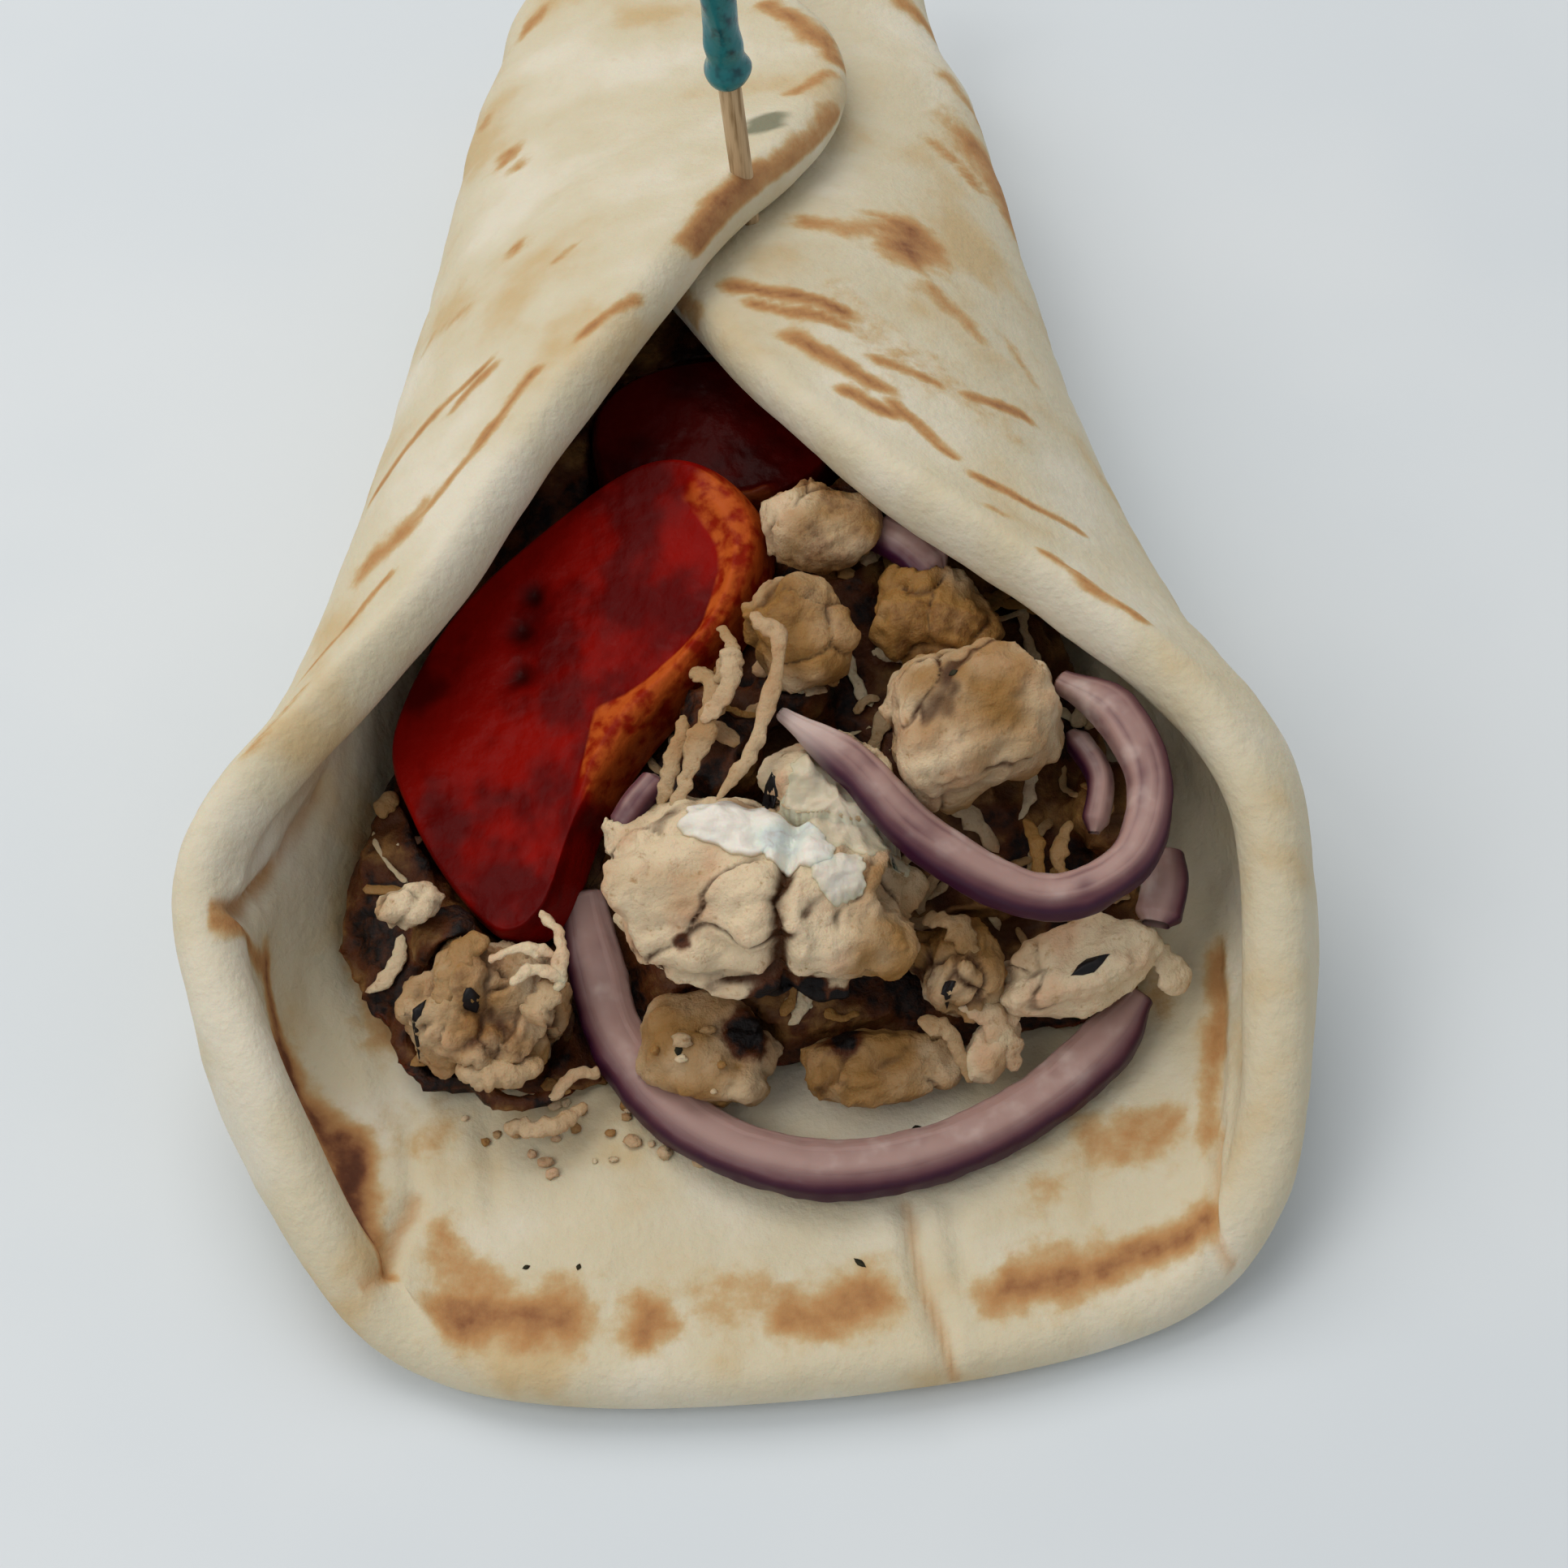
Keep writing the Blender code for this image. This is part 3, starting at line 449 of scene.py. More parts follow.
@dataclass(frozen=True)
class GriddledPita(Finish):
    """Griddled wheat dough: matt, floury and cream, with toasted tan to brown where it met the hot plate."""

    name: str = "Griddled pita dough"
    roughness: float = 0.8
    inside_light: float = 0.15
    inside_reach: float = 1.5
    cream: str = "#D2C6A9"
    floury: str = "#DED5C0"
    golden: str = "#C9B085"
    tan: str = "#B98A58"
    brown: str = "#885536"
    scorched: str = "#5E3624"
    seen_through: str = "#85826A"

    def build(self) -> bpy.types.Material:
        """Builds the material: toasting comes from the point value, noise breaks its edges into specks, and
        the creases are painted tan as painted shade.

        Returns:
            The material.
        """
        material, tree, place, given = self.start(Value.BROWNED, Value.FOLD, Value.THIN)
        cloudy = {"Vector": place, "Scale": per_metre(16), "Detail": 4.0}
        clouds = add_node(tree, "ShaderNodeTexNoise", {}, cloudy).outputs["Fac"]
        specked = {"Vector": place, "Scale": per_metre(2.4), "Detail": 6.0, "Roughness": 0.6}
        specks = add_node(tree, "ShaderNodeTexNoise", {}, specked).outputs["Fac"]
        grained = {"Vector": place, "Scale": per_metre(0.8), "Detail": 4.0}
        grain = add_node(tree, "ShaderNodeTexNoise", {}, grained).outputs["Fac"]
        broken = {"0": specks, "1": 0.9, "2": given[Value.BROWNED]}
        toasted = add_node(tree, "ShaderNodeMath", {"operation": "MULTIPLY_ADD"}, broken).outputs[0]
        layers = [
            (clouds, 0.45, 0.68, self.floury),
            (clouds, 0.47, 0.3, self.golden),
            (toasted, 0.52, 0.95, self.golden),
            (toasted, 0.68, 1.25, self.tan),
            (toasted, 1.1, 1.8, self.brown),
            (toasted, 1.5, 1.95, self.scorched),
            # Painted shade: the creases are coloured tan
            (given[Value.FOLD], 0.35, 1.4, self.tan),
            (given[Value.THIN], 0.25, 0.8, self.seen_through),
        ]
        rough = {"0": grain, "1": 0.4, "2": specks}
        height = add_node(tree, "ShaderNodeMath", {"operation": "MULTIPLY_ADD"}, rough).outputs[0]
        relief = add_node(tree, "ShaderNodeBump", {}, {"Distance": 0.3 * MM, "Height": height})
        self.close(tree, self.layered(tree, self.cream, layers), relief.outputs["Normal"])
        return material


@dataclass(frozen=True)
class GrilledChicken(Finish):
    """Grilled chicken breast, torn along its fibres: moist, cream inside, tan outside, brown from searing,
    with painted shade in its hollows and gaps.
    """

    name: str = "Grilled chicken"
    roughness: float = 0.45
    specular: float = 0.22
    coat: float = 0.04
    coat_roughness: float = 0.25
    inside_light: float = 0.2
    inside_reach: float = 1.2
    cream: str = "#E0CAA8"
    rosy: str = "#D2AB88"
    tan: str = "#9A703A"
    # Painted shade: the colour laid in the hollows, tears and clefts
    hollow: str = "#48280F"
    # Searing brown, also painted shade over the heap's core; the black below is char, and painted shadow in
    # the cavity
    seared_and_shade: str = "#52290F"
    charred_and_shadow: str = "#100908"

    def build(self) -> bpy.types.Material:
        """Builds the material: tone runs from cream to tan, painted shade darkens the hollows, and browning
        turns brown and then black, which over the heap and the cavity is painted shade.

        Returns:
            The material.
        """
        material, tree, place, given = self.start(Value.TONE, Value.DEPTH, Value.BROWNED)
        patchy = {"Vector": place, "Scale": per_metre(5), "Detail": 4.0}
        patches = add_node(tree, "ShaderNodeTexNoise", {}, patchy).outputs["Fac"]
        fibrous = {"Vector": place, "Scale": per_metre(0.9), "Detail": 6.0, "Roughness": 0.6}
        fine = add_node(tree, "ShaderNodeTexNoise", {}, fibrous).outputs["Fac"]
        broken = {"0": fine, "1": 0.8, "2": given[Value.BROWNED]}
        seared_and_shade = add_node(tree, "ShaderNodeMath", {"operation": "MULTIPLY_ADD"}, broken).outputs[0]
        layers = [
            (patches, 0.45, 0.72, self.rosy),
            (fine, 0.44, 0.18, self.tan),
            (given[Value.TONE], 0.05, 1.0, self.tan),
            # Painted shade: darker where depth is low
            (given[Value.DEPTH], 0.5, 0.02, self.hollow),
            # Browning, and the painted shade and shadow that ride on it
            (seared_and_shade, 0.65, 1.3, self.seared_and_shade),
            (seared_and_shade, 1.25, 1.65, self.charred_and_shadow),
        ]
        relief = add_node(tree, "ShaderNodeBump", {}, {"Distance": 0.45 * MM, "Height": fine})
        self.close(tree, self.layered(tree, self.cream, layers), relief.outputs["Normal"])
        return material


@dataclass(frozen=True)
class YoghurtSauce(Finish):
    """Thin yoghurt sauce: white, smooth and wet, with soft curds."""

    name: str = "Yoghurt sauce"
    roughness: float = 0.35
    coat: float = 0.1
    inside_light: float = 0.3
    inside_reach: float = 1.5
    white: str = "#E8E0D4"
    thin: str = "#C9B695"

    def build(self) -> bpy.types.Material:
        """Builds the material, whiter where the sauce is thick.

        Returns:
            The material.
        """
        material, tree, place, given = self.start(Value.DEPTH)
        curdled = {"Vector": place, "Scale": per_metre(1.6), "Detail": 3.0}
        curds = add_node(tree, "ShaderNodeTexNoise", {}, curdled).outputs["Fac"]
        colour = self.layered(tree, self.thin, [(given[Value.DEPTH], 0.0, 0.6, self.white)])
        relief = add_node(tree, "ShaderNodeBump", {}, {"Distance": 0.3 * MM, "Height": curds})
        self.close(tree, colour, relief.outputs["Normal"])
        return material


@dataclass(frozen=True)
class CutTomato(Finish):
    """Cut ripe tomato: deep red wet flesh, dark round the seeds, an orange band of outer wall, and painted
    shade.
    """

    name: str = "Cut tomato"
    roughness: float = 0.4
    specular: float = 0.06
    coat: float = 0.02
    coat_roughness: float = 0.1
    inside_light: float = 0.1
    inside_reach: float = 1.5
    flesh: str = "#8C0A03"
    pulp: str = "#580302"
    # Dark of the seed hollows, also the colour of the painted shade
    dark: str = "#180302"
    wall: str = "#B9541F"
    skin: str = "#8A1C07"

    def build(self) -> bpy.types.Material:
        """Builds the material: tone brings the wall's orange, and depth the dark round the seeds and the
        painted shade.

        Returns:
            The material.
        """
        material, tree, place, given = self.start(Value.TONE, Value.DEPTH)
        celled = {"Vector": place, "Scale": per_metre(1.8), "Detail": 5.0}
        cells = add_node(tree, "ShaderNodeTexNoise", {}, celled).outputs["Fac"]
        juicy = {"Vector": place, "Scale": per_metre(8), "Detail": 3.0}
        juice = add_node(tree, "ShaderNodeTexNoise", {}, juicy).outputs["Fac"]
        wall = self.layered(tree, self.skin, [(cells, 0.35, 0.6, self.wall)])
        layers = [
            (juice, 0.42, 0.66, self.pulp),
            (given[Value.TONE], 0.35, 0.9, wall),
            (given[Value.DEPTH], 0.1, 0.9, self.dark),
        ]
        relief = add_node(tree, "ShaderNodeBump", {}, {"Distance": 0.3 * MM, "Height": cells})
        self.close(tree, self.layered(tree, self.flesh, layers), relief.outputs["Normal"])
        return material


@dataclass(frozen=True)
class RedOnion(Finish):
    """Raw red onion: satin brown-mauve flesh with fine lines along it, and a thin purple skin on one edge."""

    name: str = "Red onion"
    roughness: float = 0.38
    specular: float = 0.25
    coat: float = 0.05
    coat_roughness: float = 0.2
    inside_light: float = 0.25
    inside_reach: float = 1.2
    flesh: str = "#A8877F"
    pale: str = "#C9B3AB"
    mauve: str = "#5E373F"
    skin: str = "#38102B"

    def build(self) -> bpy.types.Material:
        """Builds the material: tone runs to the skin's edge, fold draws the lines, depth lightens a tip.

        Returns:
            The material.
        """
        material, tree, place, given = self.start(Value.TONE, Value.FOLD, Value.DEPTH)
        cloudy = {"Vector": place, "Scale": per_metre(4), "Detail": 3.0}
        clouds = add_node(tree, "ShaderNodeTexNoise", {}, cloudy).outputs["Fac"]
        layers = [
            (given[Value.FOLD], 0.3, 1.1, self.mauve),
            (clouds, 0.5, 0.85, self.pale),
            (given[Value.TONE], 0.55, 0.95, self.mauve),
            (given[Value.TONE], 0.88, 0.99, self.skin),
            (given[Value.DEPTH], 0.2, 1.0, self.pale),
        ]
        relief = add_node(tree, "ShaderNodeBump", {}, {"Distance": 0.15 * MM, "Height": given[Value.FOLD]})
        self.close(tree, self.layered(tree, self.flesh, layers), relief.outputs["Normal"])
        return material


@dataclass(frozen=True)
class BirchStick(Finish):
    """Turned birch: pale, matt, with brown grain along the stick."""

    name: str = "Birch stick"
    roughness: float = 0.65
    pale: str = "#CBAE88"
    grain: str = "#86683F"

    def build(self) -> bpy.types.Material:
        """Builds the material, with noise drawn out along the stick as grain.

        Returns:
            The material.
        """
        material, tree, place, _ = self.start()
        drawn = add_node(tree, "ShaderNodeMapping", {}, {"Vector": place, "Scale": (1.0, 1.0, 0.06)})
        grained = {"Vector": drawn.outputs["Vector"], "Scale": per_metre(0.4), "Detail": 3.0}
        grain = add_node(tree, "ShaderNodeTexNoise", {}, grained).outputs["Fac"]
        relief = add_node(tree, "ShaderNodeBump", {}, {"Distance": 0.08 * MM, "Height": grain})
        colour = self.layered(tree, self.pale, [(grain, 0.4, 0.75, self.grain)])
        self.close(tree, colour, relief.outputs["Normal"])
        return material


@dataclass(frozen=True)
class TealFilm(Finish):
    """Cellulose film wound round the pick: smooth teal with soft wrinkles and a sharp gloss."""

    name: str = "Teal film"
    roughness: float = 0.25
    ior: float = 1.5
    coat: float = 0.1
    teal: str = "#1C7074"
    deep: str = "#0D3F47"

    def build(self) -> bpy.types.Material:
        """Builds the material, darker where the film folds over itself.

        Returns:
            The material.
        """
        material, tree, place, _ = self.start()
        wrinkled = {"Vector": place, "Scale": per_metre(1.4), "Detail": 2.0}
        wrinkles = add_node(tree, "ShaderNodeTexNoise", {}, wrinkled).outputs["Fac"]
        relief = add_node(tree, "ShaderNodeBump", {}, {"Distance": 0.15 * MM, "Height": wrinkles})
        colour = self.layered(tree, self.teal, [(wrinkles, 0.45, 0.75, self.deep)])
        self.close(tree, colour, relief.outputs["Normal"])
        return material


@dataclass(frozen=True)
class SpeckledStuff(Finish):
    """One matt stuff in two close colours, such as dried herb, char or the table."""

    first: str = "#2E2A16"
    second: str = "#171509"
    patch: float = 1.0

    def build(self) -> bpy.types.Material:
        """Builds the material, patched by noise.

        Returns:
            The material.
        """
        material, tree, place, _ = self.start()
        patched = {"Vector": place, "Scale": per_metre(self.patch), "Detail": 3.0}
        patches = add_node(tree, "ShaderNodeTexNoise", {}, patched).outputs["Fac"]
        relief = add_node(tree, "ShaderNodeBump", {}, {"Distance": 0.02 * MM, "Height": patches})
        colour = self.layered(tree, self.first, [(patches, 0.35, 0.65, self.second)])
        self.close(tree, colour, relief.outputs["Normal"])
        return material


class Side(Enum):
    """The two halves of the roll, seen from its mouth."""

    LEFT = -1
    RIGHT = 1


@dataclass
class Roll:
    """The shape that the flat pita takes: sections square to Y, from the lip to the tucked end.

    A section has two quarter superellipses a side. The left side's top lies half a layer higher, as the
    outer flap, and the right side's half a layer lower.
    """

    radius: float = 87.3
    thickness: float = 6.0
    layer_gap: float = 0.5
    stations: tuple[float, ...] = (0.0, 0.18, 0.36, 0.55, 0.78, 1.0)
    half_width: dict[Side, tuple[float, ...]] = field(
        default_factory=lambda: {
            Side.LEFT: (39.1, 53.6, 43.2, 32.7, 24.5, 18.0),
            Side.RIGHT: (36.4, 43.6, 36.8, 30.7, 26.5, 22.0),
        }
    )
    widest_height: tuple[float, ...] = (24.0, 25.5, 19.2, 15.6, 17.0, 15.0)
    height: tuple[float, ...] = (51.1, 48.6, 46.5, 42.0, 29.5, 26.5)
    mouth_roundness: dict[Side, tuple[float, float]] = field(
        default_factory=lambda: {Side.LEFT: (8.0, 1.1), Side.RIGHT: (4.6, 1.6)}
    )
    back_roundness: tuple[float, float] = (2.3, 2.0)
    mouth_lean: float = 0.93
    middle_lean: float = 0.17
    tightest_bend: float = 2.5
    tuck_start: float = 66.0
    tuck_radius: float = 11.0
    overlap_ends: float = 0.90
    rows: int = 181
    step: float = 1.0
    reach: int = 130
    surfaces: dict[Side, Array] = field(default_factory=dict)

    def __post_init__(self) -> None:
        """Works out both sides once."""
        self.surfaces = {side: self.side_surface(side) for side in Side}

    def along_roll(self, fraction: Array, values: tuple[float, ...]) -> Array:
        """A cubic curve through values at the stations, with slopes taken from their neighbours.

        Args:
            fraction: how far along the roll, from 0 at the lip to 1 at the tucked end.
            values: what the curve passes through.

        Returns:
            The curve's value at each fraction.
        """
        at, given = np.asarray(self.stations), np.asarray(values, float)
        slope = np.gradient(given, at)
        left = np.clip(np.searchsorted(at, fraction) - 1, 0, len(at) - 2)
        width = at[left + 1] - at[left]
        u = (fraction - at[left]) / width
        start = given[left] * (2 * u**3 - 3 * u**2 + 1) + slope[left] * width * (u**3 - 2 * u**2 + u)
        return start + given[left + 1] * (3 * u**2 - 2 * u**3) + slope[left + 1] * width * (u**3 - u**2)

    def lean(self, fraction: Array) -> Array:
        """How far a point moves back for each millimetre of height: much at the mouth, none at the end.

        Args:
            fraction: how far along the roll, from 0 at the lip to 1 at the tucked end.

        Returns:
            One slope for each fraction.
        """
        early = self.mouth_lean + (self.middle_lean - self.mouth_lean) * smooth_step(fraction / 0.5)
        late = self.middle_lean * (1.0 - smooth_step((fraction - 0.5) / 0.5))
        return np.where(fraction < 0.5, early, late)

    def tuck_path(self, row: Array) -> tuple[Array, Array]:
        """How far back and up the bottom's middle line lies: flat, then bent up on an arc.

        Args:
            row: flat distances along.

        Returns:
            Distances back, and heights.
        """
        angle = np.clip(row - self.tuck_start, 0.0, None) / self.tuck_radius
        back = np.where(row > self.tuck_start, self.tuck_start + self.tuck_radius * np.sin(angle), row)
        return back, self.thickness / 2 + self.tuck_radius * (1.0 - np.cos(angle))

    def section(self, side: Side, rows: Array, angle: Array) -> tuple[Array, Array, Array]:
        """One side's sections: |sine|^(2/roundness) across, and |cosine|^(2/roundness) up and down.

        Args:
            side: left or right.
            rows: where along the flat pita each section lies.
            angle: steps round a section, from its bottom middle past its top middle.

        Returns:
            Across, height and share of the whole height, by row and angle.
        """
        fraction = ((rows + self.radius) / (2 * self.radius))[:, None]
        half_layer = (self.thickness + self.layer_gap) / 2
        sine, cosine = np.sin(angle)[None, :], np.cos(angle)[None, :]
        ramp = smooth_step((angle / math.pi - 0.40) / 0.28)[None, :]
        layer = -side.value * half_layer * ramp * (1 - smooth_step((fraction - self.overlap_ends) / 0.07))
        back = smooth_step((fraction - 0.2) / 0.35)
        pairs = zip(self.mouth_roundness[side], self.back_roundness)
        low, high = [near * (1 - back) + far * back for near, far in pairs]
        roundness = np.where(cosine >= 0, low, high)
        other = Side.RIGHT if side is Side.LEFT else Side.LEFT
        own_width = self.along_roll(fraction, self.half_width[side])
        far_width = self.along_roll(fraction, self.half_width[other])
        half_width = np.where(sine >= 0, own_width, far_width) + layer
        widest = self.along_roll(fraction, self.widest_height)
        top = self.along_roll(fraction, self.height) - self.thickness / 2
        bottom = self.thickness / 2
        across = half_width * np.sign(sine) * np.abs(sine) ** (2 / roundness)
        rise = np.abs(cosine) ** (2 / roundness)
        lower = widest - (widest - bottom) * rise
        upper = widest + (top - widest + layer) * rise
        height = np.where(cosine >= 0, lower, upper)
        share = (height - bottom) / (top - bottom)
        _, lifted = self.tuck_path(rows[:, None])
        return across * side.value, lifted + share * (top - lifted), share

    def evened(self, across: Array, height: Array, share: Array) -> list[Array]:
        """The sections at even steps along their length, softened by a Gaussian as wide as the tightest bend.

        Args:
            across: distance across, by row and angle.
            height: height, by row and angle.
            share: share of the whole height, by row and angle.

        Returns:
            The same three, by row and step.
        """
        count = across.shape[0]
        lengths = np.hypot(np.diff(across, axis=1), np.diff(height, axis=1))
        travelled = np.concatenate([np.zeros((count, 1)), np.cumsum(lengths, axis=1)], axis=1)
        apart = 1000.0 * np.arange(count)[:, None]
        wanted = self.step * np.arange(self.reach)[None, :] + apart
        spread = int(3 * self.tightest_bend / self.step)
        weights = bell(np.arange(-spread, spread + 1) * self.step, self.tightest_bend * math.sqrt(2))
        weights /= weights.sum()
        softened = []
        for values, mirrored in ((across, "odd"), (height, "even"), (share, "even")):
            even = np.interp(wanted.ravel(), (travelled + apart).ravel(), values.ravel())
            even = even.reshape(count, self.reach)
            padded = np.pad(even, ((0, 0), (spread, 0)), mode="reflect", reflect_type=mirrored)
            padded = np.pad(padded, ((0, 0), (0, spread)), mode="reflect", reflect_type="odd")
            softened.append(np.lib.stride_tricks.sliding_window_view(padded, len(weights), axis=1) @ weights)
        return softened

    def side_surface(self, side: Side) -> Array:
        """Points of the middle of the dough on one side.

        Args:
            side: left or right.

        Returns:
            Places in mm, by row and by step away from the middle line.
        """
        rows = np.linspace(-self.radius, self.radius, self.rows)
        angle = np.linspace(0.0, 1.7 * math.pi, 220)
        across, height, share = self.evened(*self.section(side, rows, angle))
        row = rows[:, None]
        fraction = (row + self.radius) / (2 * self.radius)
        tucked, _ = self.tuck_path(row)
        upright = tucked + np.clip(share, 0.0, 1.0) * (row - tucked)
        along = upright + self.lean(fraction) * (height - self.thickness / 2)
        return np.stack([across, along, height], axis=2)

    def place(self, across: Array, along: Array) -> Array:
        """Where points of the flat pita go when it is rolled.

        Args:
            across: flat distances across, left negative.
            along: flat distances along, the lip negative.

        Returns:
            Points of the middle of the dough in mm.
        """
        row = np.clip((along + self.radius) / (2 * self.radius), 0, 1) * (self.rows - 1)
        step = np.clip(np.abs(across) / self.step, 0, self.reach - 1.001)
        row_low = np.minimum(row.astype(int), self.rows - 2)
        step_low = step.astype(int)
        u, v = (row - row_low)[:, None], (step - step_low)[:, None]
        both = []
        for side in Side:
            surface = self.surfaces[side]
            near = surface[row_low, step_low] * (1 - v) + surface[row_low, step_low + 1] * v
            far = surface[row_low + 1, step_low] * (1 - v) + surface[row_low + 1, step_low + 1] * v
            both.append(near * (1 - u) + far * u)
        return np.where((across < 0)[:, None], both[0], both[1])

    def inward(self, across: Array, along: Array, stride: float = 1.5) -> Array:
        """Unit normals of the dough, towards the filling: the cross product of its slopes over a stride.

        Args:
            across: flat distances across.
            along: flat distances along.
            stride: how far apart the slopes are taken.

        Returns:
            One normal for each place.
        """
        aside = self.place(across + stride, along) - self.place(across - stride, along)
        behind = self.place(across, np.clip(along - stride, -self.radius, self.radius))
        ahead = self.place(across, np.clip(along + stride, -self.radius, self.radius)) - behind
        normal = np.cross(aside, ahead)
        return normal / np.maximum(np.linalg.norm(normal, axis=1), 1e-9)[:, None]


class Face(Enum):
    """The two faces of the pita."""

    INNER = 1
    OUTER = -1


@dataclass(frozen=True)
class Stroke:
    """A mark on the flat pita: from one place to another (across, along), its half width and strength."""

    across: float
    along: float
    end_across: float
    end_along: float
    width: float
    strength: float = 1.0
    softness: float = 1.3

    def covers(self, places: Array, wobble: Array) -> Array:
        """How strongly the stroke marks each place: a bell over the distance to its line.

        Args:
            places: flat places, one row each.
            wobble: noise from -1 to 1 that roughens the outline, one row for each place.

        Returns:
            One value for each place.
        """
        start = np.array([self.across, self.along])
        run = np.array([self.end_across, self.end_along]) - start
        moved = places + wobble * min(0.7 * self.width, 1.6)
        share = np.clip((moved - start) @ run / max(run @ run, 1e-9), 0, 1)
        away = np.linalg.norm(moved - start - share[:, None] * run, axis=1)
        return self.strength * bell(away, self.softness * self.width)


def strongest(strokes: tuple[Stroke, ...], places: Array, seed: int) -> Array:
    """The strongest of several strokes at each flat place, with outlines roughened by noise.

    Args:
        strokes: the marks.
        places: flat places, one row each.
        seed: picks the noise.

    Returns:
        One value for each place.
    """
    flat = np.column_stack([places, np.full(len(places), 7.0 * seed)])
    wobble = np.column_stack([layered_noise(flat, 3.2, seed), layered_noise(flat, 3.2, seed + 9)])
    total = np.zeros(len(places))
    for stroke in strokes:
        total = np.maximum(total, stroke.covers(places, wobble))
    return total


# Toasted marks on the face that lies inside, from the lip's left corner to its right one, then up both walls
MARKS_INSIDE = (
    Stroke(-36.5, -70.5, -32.5, -73.5, 1.9, 0.7),
    Stroke(-36.0, -75.5, -26.0, -77.0, 2.6, 1.05),
    Stroke(-18.5, -77.5, -18.5, -78.0, 1.8, 1.05),
    Stroke(-12.0, -77.0, -9.0, -77.0, 2.8, 0.4),
    Stroke(-5.5, -78.5, 1.5, -78.0, 2.3, 0.9),
    Stroke(14.0, -78.5, 19.0, -78.0, 2.0, 1.05),
    Stroke(22.0, -77.5, 33.5, -78.0, 1.7, 1.05),
    Stroke(23.5, -65.5, 30.5, -66.5, 2.2, 0.65),
    Stroke(18.5, -70.0, 18.5, -70.0, 2.1, 0.4),
    Stroke(-37.0, -67.5, -36.0, -69.5, 1.6, 0.65),
    Stroke(-38.0, -57.0, -38.0, -57.5, 2.7, 0.4),
    Stroke(-71.0, -59.5, -60.5, -49.0, 1.0, 0.85),
    Stroke(-60.5, -49.0, -55.0, -53.5, 1.3, 1.1),
    Stroke(-55.0, -53.5, -45.5, -59.5, 2.2, 1.3),
    Stroke(-45.5, -59.5, -45.5, -73.0, 2.2, 1.4),
    Stroke(39.5, -52.5, 37.0, -61.0, 1.5, 0.75),
    Stroke(37.0, -61.0, 35.5, -69.5, 1.3, 0.6),
    Stroke(30.0, -48.0, 33.0, -53.0, 2.3, 0.4),
    Stroke(-47.5, -28.0, -41.0, -46.0, 2.4, 0.55),
)

# Toasted marks on the face that lies outside: the left flap first, then the right one
MARKS_OUTSIDE = (
    Stroke(-38.5, 67.5, -37.0, 66.5, 1.3, 0.8),
    Stroke(-38.0, 51.0, -38.5, 50.5, 0.8, 0.7),
    Stroke(-46.5, 40.0, -47.0, 38.5, 1.1, 1.0),
    Stroke(-49.0, 36.0, -49.5, 35.5, 0.8, 0.6),
    Stroke(-61.5, 16.0, -61.0, 16.5, 1.0, 0.75),
    Stroke(-69.5, 10.0, -70.5, 11.5, 0.6, 0.5),
    Stroke(-81.0, -3.5, -83.0, 0.0, 0.7, 0.9),
    Stroke(-83.5, 7.5, -83.5, 20.0, 1.1, 1.05),
    Stroke(-83.5, 20.0, -82.5, 31.0, 0.8, 0.8),
    Stroke(-82.5, 31.0, -81.0, 38.0, 0.9, 0.75),
    Stroke(-65.5, 59.5, -72.0, 53.0, 1.1, 0.95),
    Stroke(-72.0, 53.0, -76.5, 48.0, 1.2, 0.95),
    Stroke(-77.0, 44.0, -76.5, 37.5, 0.9, 0.75),
    Stroke(-59.0, -7.0, -65.0, -3.0, 0.7, 0.9),
    Stroke(-65.0, -3.0, -69.0, -1.0, 0.6, 0.85),
    Stroke(-68.5, -4.0, -70.5, -2.5, 0.9, 0.75),
    Stroke(-77.5, -13.5, -78.0, -6.5, 0.8, 0.95),
    Stroke(-74.5, -18.5, -77.5, -13.5, 0.6, 0.75),
    Stroke(-68.5, -20.0, -73.0, -19.0, 1.6, 0.75),
    Stroke(-70.5, -32.5, -74.0, -25.5, 0.7, 0.75),
    Stroke(-76.5, -45.0, -75.0, -38.0, 0.7, 0.6),
    Stroke(-53.5, 11.5, -59.0, 10.5, 1.2, 0.4),
    Stroke(33.0, 70.5, 30.0, 68.0, 1.4, 0.8),
    Stroke(34.5, 57.0, 31.5, 51.0, 1.1, 0.6),
    Stroke(41.0, 42.0, 38.0, 37.0, 1.0, 0.7),
    Stroke(36.0, 45.0, 31.5, 36.0, 2.7, 0.9),
    Stroke(64.0, 18.0, 59.0, 18.0, 1.6, 0.7),
    Stroke(56.5, 15.0, 53.5, 20.0, 2.4, 1.05),
    Stroke(57.0, 9.0, 55.5, 5.5, 1.3, 0.7),
    Stroke(76.0, 7.5, 69.0, 2.5, 0.95, 1.1),
    Stroke(76.0, 4.0, 70.0, 0.5, 0.75, 0.95),
    Stroke(80.5, 8.5, 81.0, 5.0, 0.9, 0.6),
    Stroke(75.0, -1.0, 72.0, -9.0, 1.1, 1.0),
    Stroke(75.5, -10.0, 73.5, -13.0, 0.9, 1.05),
    Stroke(69.5, -4.5, 65.5, -6.5, 0.75, 0.85),
    Stroke(58.0, 8.5, 55.5, 4.5, 1.3, 0.5),
    Stroke(72.0, -11.5, 71.5, -20.0, 0.65, 0.95),
    Stroke(62.5, -7.0, 56.0, -6.5, 0.85, 0.95),
    Stroke(71.0, -23.0, 67.0, -26.0, 0.85, 1.05),
    Stroke(67.0, -26.0, 63.5, -27.0, 0.8, 0.85),
    Stroke(74.0, -30.5, 74.0, -30.5, 1.0, 0.6),
    Stroke(74.5, -38.0, 74.0, -43.5, 0.65, 0.85),
    Stroke(74.0, -43.5, 72.0, -47.5, 0.65, 0.85),
    Stroke(50.0, 7.0, 49.5, 1.5, 0.9, 0.4),
    Stroke(68.0, 2.0, 63.0, -8.5, 4.3, 0.3),
)
